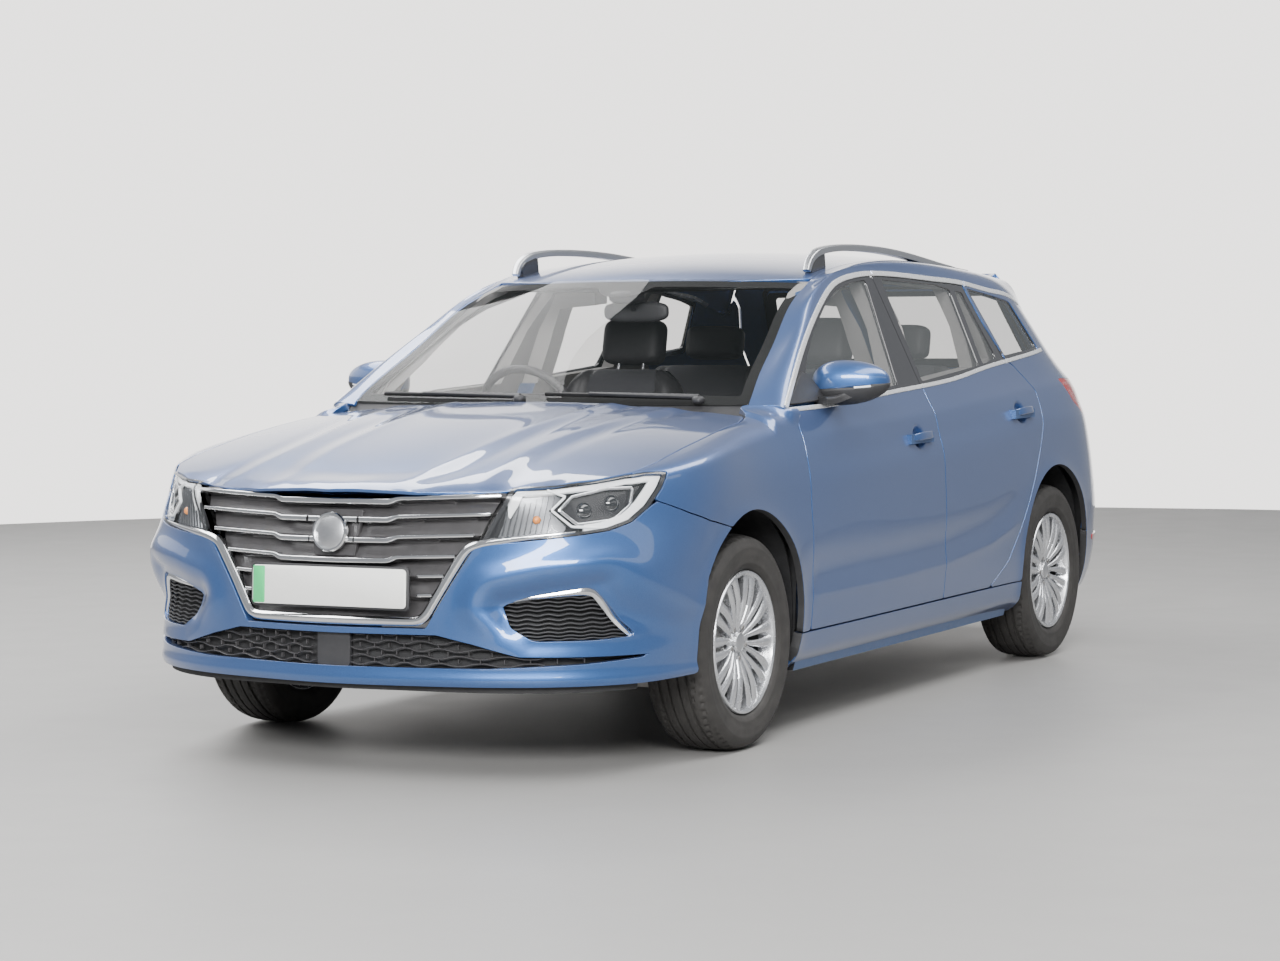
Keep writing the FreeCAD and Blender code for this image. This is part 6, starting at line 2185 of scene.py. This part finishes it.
def buildDash():
    section = rounded([(fore(420), 640), (fore(640), 655), (fore(735), 780), (fore(748), 838),
                       (fore(700), 858), (fore(712), 925), (fore(668), 968), (fore(520), 984),
                       (fore(392), 992), (fore(380), 900)],
                      [10, 40, 24, 14, 10, 26, 40, 30, 6, 10])
    xs = np.concatenate([[-700, -696, -688], np.linspace(-676, 676, 30), [688, 696, 700]])
    squeeze = np.concatenate([[0.93, 0.97, 0.99], np.ones(30), [0.99, 0.97, 0.93]])
    extrude("dashBody", section, xs, dashSoft, squeeze, "body", "dashboard", "black_plastic")
    vents = []
    for x in (-640, -205, 188, 636):
        vents += [("vent", (x, fore(707), 905), (48, 6, 30), dashTrim, 5.0, 36, 12),
                  ("ventHole", (x, fore(711), 905), (43, 4, 25), undertrayBlack, 5.0, 32, 12)]
        vents += [("vane", (x, fore(714), 890 + 10 * k), (41, 4, 1.6), grainBlack, 6.0, 16,
                   6) for k in range(4)]
    for name, rows in {
            "dashStrip": [("strip", (x, fore(702), 889), (width, 7, 15), dashTrim, 7.0, 40, 12)
                          for x, width in ((405, 240), (-610, 60))],
            "instrumentHood": [("hood", (-370, fore(640), 985), (168, 96, 46), dashSoft, 2.8, 48, 24),
                               ("dial", (-370, fore(722), 975), (138, 5, 34), screenBlack, 6.0, 40, 12)],
            "centreScreen": [("rim", (-8, fore(716), 925), (146, 9, 88), grainBlack, 12.0, 56, 24),
                             ("glass", (-8, fore(725.5), 925), (136, 2, 78), screenBlack, 14.0, 48, 20)],
            "dashVents": vents,
            "dashLower": [("glovebox", (405, fore(690), 745), (205, 16, 78), dashSoft, 8.0, 40, 16),
                          ("controls", (0, fore(738), 800), (112, 12, 34), glossBlack, 6.0, 40, 12)]
            + [("knob", (-72 + 36 * k, fore(752), 800), (11, 6, 11), dashTrim, 3.0, 20,
                10) for k in range(5)],
    }.items():
        joinPieces(name, balls(*rows), "body")
    console = balls(("console", (0, fore(1180), 432), (98, 430, 122), dashSoft, 6.0, 56, 24),
                    ("armrest", (0, fore(1440), 582), (88, 150, 34), seatLeather, 4.0, 48, 20),
                    ("consoleTop", (0, fore(1010), 552), (86, 210, 8), glossBlack, 8.0, 48, 12))
    cup, dial = [(33, 0), (36, 0), (36, 3), (33, 3)], [(0, 0), (30, 0), (30, 26), (26, 30), (0, 31)]
    for profile, place, count in ((cup, (-40, fore(1130), 559), 32), (cup, (40, fore(1130), 559), 32),
                                  (dial, (0, fore(960), 558), 48)):
        console.append(lathe("part", profile, (0, 0, 0), dashTrim, count))
        console[-1].data.transform(moved(*place) @ turned(-90, "Y"))
    joinPieces("centreConsole", console, "body")


wheelRing = {"centre": (-370, fore(905), 960), "tilt": 24, "radius": 181, "thick": 15}


def buildSteering():
    p = wheelRing
    turn = np.linspace(0, 2 * math.pi, 97)[:-1]
    flat = 1 - 0.05 * smoothStep((-np.sin(turn) - 0.75) / 0.2)
    path = p["radius"] * columns(np.cos(turn) * flat, 0 * turn, np.sin(turn) * flat)
    normal = columns(np.cos(turn), 0 * turn, np.sin(turn))
    parts = [sweep("rim", path, normal, roundProfile(p["thick"], 20), seatLeather, closed=True),
             superBall("boss", (0, -4, 0), (78, 24, 62), dashSoft, 3.2, 48, 24)]
    for sign in (1, -1):
        line = along([(60 * sign, -2, 4), (116 * sign, 4, 10), (172 * sign, 0, 10)], 14)
        parts.append(sweep("spoke", line, (0, -1, 0), barProfile(44, 14, 5), dashSoft,
                           taper((1.15, 0.75), (1, 1), 14)))
        line = along([(74 * sign, -16, 4), (116 * sign, -10, 10), (172 * sign * 0.93, -10, 10)], 12)
        parts.append(sweep("insert", line, (0, -1, 0), barProfile(26, 4, 1.8), dashTrim))
    for dx in (-26, 26):
        line = along([(dx * 0.8, -2, -50), (dx, 3, -110), (dx * 1.15, 0, -168)], 12)
        parts.append(sweep("spoke", line, (0, -1, 0), barProfile(15, 11, 4), dashTrim))
    parts.append(superBall("plainCap", (0, -28, 0), (24, 3, 24), dashTrim, 2.0, 32, 12))
    item = joinPieces("steeringWheel", parts)
    item.data.transform(moved(*p["centre"]) @ turned(p["tilt"], "X"))
    assign(item, "steering_wheel", "steering_wheel")
    x = p["centre"][0]
    stalks = [sweep("stalk", along([(x + sign * 24, fore(832), 930), (x + sign * 95, fore(842), 946),
                                    (x + sign * 150, fore(848), 962)], 10), (0, 0, 1), barProfile(15, 9, 4),
                    dashSoft) for sign in (-1, 1)]
    joinPieces("columnStalks", stalks, "body")


# for each door: where its card starts and ends, and how much its lower corner is cut short
cardShape = {"front": (-880, 140, 0), "rear": (230, 900, 220), "padDepth": 12, "pocketDepth": 20}


def doorCards():
    for name in ("front", "rear"):
        y0, y1, short = cardShape[name]
        y, z = grid(y0, y1, 350, 1020, 12)
        pad, pocket, edge = (outlineDistance(rounded(loop, radius), y, z) for loop, radius in (
            ([(y0 + 90, 760), (y1 - 60, 780), (y1 - 70, 930), (y0 + 110, 915)], 40),
            ([(y0 + 80, 420), (y1 - 140, 420), (y1 - 160, 520), (y0 + 90, 530)], 30),
            ([(y0 + 6, 356), (y1 - 6 - short, 356), (y1 - 6, 760), (y1 - 6, 1012), (y0 + 6, 1000)], 40)))
        inner = np.interp(z, [400, 600, 800, 950, 1020], [814, 822, 804, 774, 762]) - 3
        inner -= cardShape["padDepth"] * smoothStep((10 - pad) / 30)
        inner -= cardShape["pocketDepth"] * smoothStep((10 - pocket) / 20)
        card = panel("card", columns(inner, y, z), edge, dashSoft, [(1, -2), (2, -10)], flip=True)
        bothSides(card, name + "DoorCard", name + "_door", None)
        middle = (y0 + y1) / 2
        parts = balls(("rest", (inner.min() - 14, middle - 20, 742), (34, 170, 24), seatLeather, 4.0, 40, 20),
                      ("pull", (782, middle - 190, 838), (8, 46, 14), dashTrim, 4.0, 24, 12))
        parts.append(lathe("speaker", [(0, 0), (74, 0), (74, 5), (68, 8), (0, 6)], (800, y0 + 190, 470),
                           grainBlack, 48, outward=-1))
        bothSides(joinPieces("trim", parts), name + "DoorTrim", name + "_door", None)


def cabinTrim():
    x, y = grid(-690, 690, -930, 900, 30)
    tunnel = 40 * smoothStep((120 - np.abs(x)) / 40)
    point = columns(x, y, 309 + tunnel + 2 * np.sin(x / 37) * np.sin(y / 41))
    panel("cabinCarpet", point, np.full(x.shape, -9.0), carpet, [], "body")
    x, y = grid(-690, 690, 1080, 2130, 30)
    panel("loadCarpet", columns(x, y, np.full(x.shape, 668.0)), np.abs(x) - 560.0, carpet, [(1, 2)], "body")
    # interior mirror on its stem, with the sensor cover behind it
    y, z = screenPoint(np.array([0.0]), np.array([0.90]))[0][1:]
    stem = sweep("stem", [(0, y + 70, z - 36), (0, y + 96, z - 62)], (0, -1, 0), barProfile(18, 14, 5),
                 grainBlack)
    pod, mirror, face = balls(("pod", (0, y + 40, z - 24), (52, 62, 22), grainBlack, 3.2, 40, 20),
                              ("mirror", (0, y + 108, z - 74), (122, 17, 35), grainBlack, 3.4, 48, 20),
                              ("mirrorFace", (0, y + 122, z - 74), (114, 4, 29), satinMetal, 3.6, 40, 12))
    joinPieces("cabinMirror", [pod, stem, mirror, face], "body")


buildSeats()
buildDash()
buildSteering()
doorCards()
cabinTrim()
print("stage: cabin")


nodeFinish = {
    undertrayBlack: ("floor_pan", "bulkhead", "wheelhouses_front", "wheelhouses_rear"),
    castSteel: ("front_subframe", "rear_axle", "knuckle_left", "knuckle_right"),
    satinMetal: ("battery_pack", "drive_motor", "roof_rails"), grilleGrey: ("grille", "charge_flap"),
    grainBlack: ("steering_column", "lower_intake", "wipers"), lensRed: ("tail_lamps",),
              lampBlack: ("headlamps",),
    dashSoft: ("dashboard", "steering_wheel"), seatCloth: ("front_seats", "rear_seat"),
              screenGlass: ("windscreen",),
}
for name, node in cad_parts.items():
    if "glass" in name:
        material = windowGlass
    elif name.startswith(("tyre", "wheel_")):
        material = tyreRubber if name.startswith("tyre") else alloySilver
    else:
        material = next((finished for finished, names in nodeFinish.items() if name in names), paintBlue)
    for part in node.material_slots:
        part.material = material
print("stage: packed nodes finished")


def buildStage():
    turn = np.linspace(0, 2 * math.pi, 72, endpoint=False)
    mesh = bpy.data.meshes.new("studioFloor")
    mesh.from_pydata([(9.5 * math.cos(a), 9.5 * math.sin(a), 0) for a in turn], [], [tuple(range(72))])
    mesh.materials.append(finish("studioFloorPale", (0.265, 0.26, 0.252), roughness=0.5, spread=0.02,
                                 scale=1.5, roughSpread=0.06))
    addPiece("studioFloor", mesh)


def addLight(name, spot, aim, size, power):
    light = bpy.data.lights.new(name, "AREA")
    light.shape = "RECTANGLE"
    light.size, light.size_y = size
    light.energy = power
    item = addPiece(name, light)
    item.location = spot
    item.rotation_euler = (Vector(aim) - Vector(spot)).to_track_quat("-Z", "Y").to_euler()


# each light: name, where it hangs, what it faces, its size in metres and its power in watts
studioLights = [("roofBoxLeft", (3.2, -1.0, 5.6), (3.2, -1.0, 0), (2.4, 11.0), 700),
                ("roofBoxRight", (-4.1, -1.0, 5.6), (-4.1, -1.0, 0), (3.2, 11.0), 1000),
                ("leftWall", (8.5, -2.0, 4.4), (0, -0.5, 0.8), (9.0, 1.4), 60),
                ("noseWall", (3.4, -9.4, 4.0), (0.3, -2.0, 0.8), (6.0, 2.0), 1500),
                ("rightWall", (-7.5, 0.0, 3.2), (0, 0, 0.7), (9.0, 3.0), 130)]


# a dim surround with one bright wall beyond the car, and soft boxes over the nose and roof
def buildLights():
    world = bpy.data.worlds.new("softStudio")
    bpy.context.scene.world = world
    world.use_nodes = True
    tree = world.node_tree
    coordinates = addNode(tree, "ShaderNodeTexCoord")
    aim = addNode(tree, "ShaderNodeVectorMath", operation="DOT_PRODUCT")
    aim.inputs[1].default_value = (-0.461, 0.887, 0.0)
    tree.links.new(coordinates.outputs["Generated"], aim.inputs[0])
    wall = ramp(tree, aim.outputs["Value"], [(0.88, (0.36, 0.37, 0.39)), (0.97, (2.6, 2.54, 2.48))])
    tree.links.new(wall, tree.nodes["Background"].inputs["Color"])
    for row in studioLights:
        addLight(*row)


cameraView = {"place": (4.844, -9.690, 1.344), "lens": 36 * 3086 / 1280, "yaw": -27.43, "pitch": -3.28,
              "roll": -0.57}


def buildCamera():
    c = cameraView
    camera = bpy.data.cameras.new("photoCamera")
    camera.sensor_width = 36
    camera.lens = c["lens"]
    camera.clip_end = 200
    item = addPiece("photoCamera", camera)
    yaw, pitch, roll = (math.radians(c[part]) for part in ("yaw", "pitch", "roll"))
    ahead = Vector((math.cos(pitch) * math.sin(yaw), math.cos(pitch) * math.cos(yaw), math.sin(pitch)))
    right = ahead.cross(Vector((0, 0, 1))).normalized()
    up = right.cross(ahead)
    across = right * math.cos(roll) + up * math.sin(roll)
    above = up * math.cos(roll) - right * math.sin(roll)
    item.matrix_world = Matrix.Translation(c["place"]) @ Matrix((across, above, -ahead)).transposed().to_4x4()
    bpy.context.scene.camera = item


buildStage()
buildLights()
buildCamera()
print("stage: studio ready")
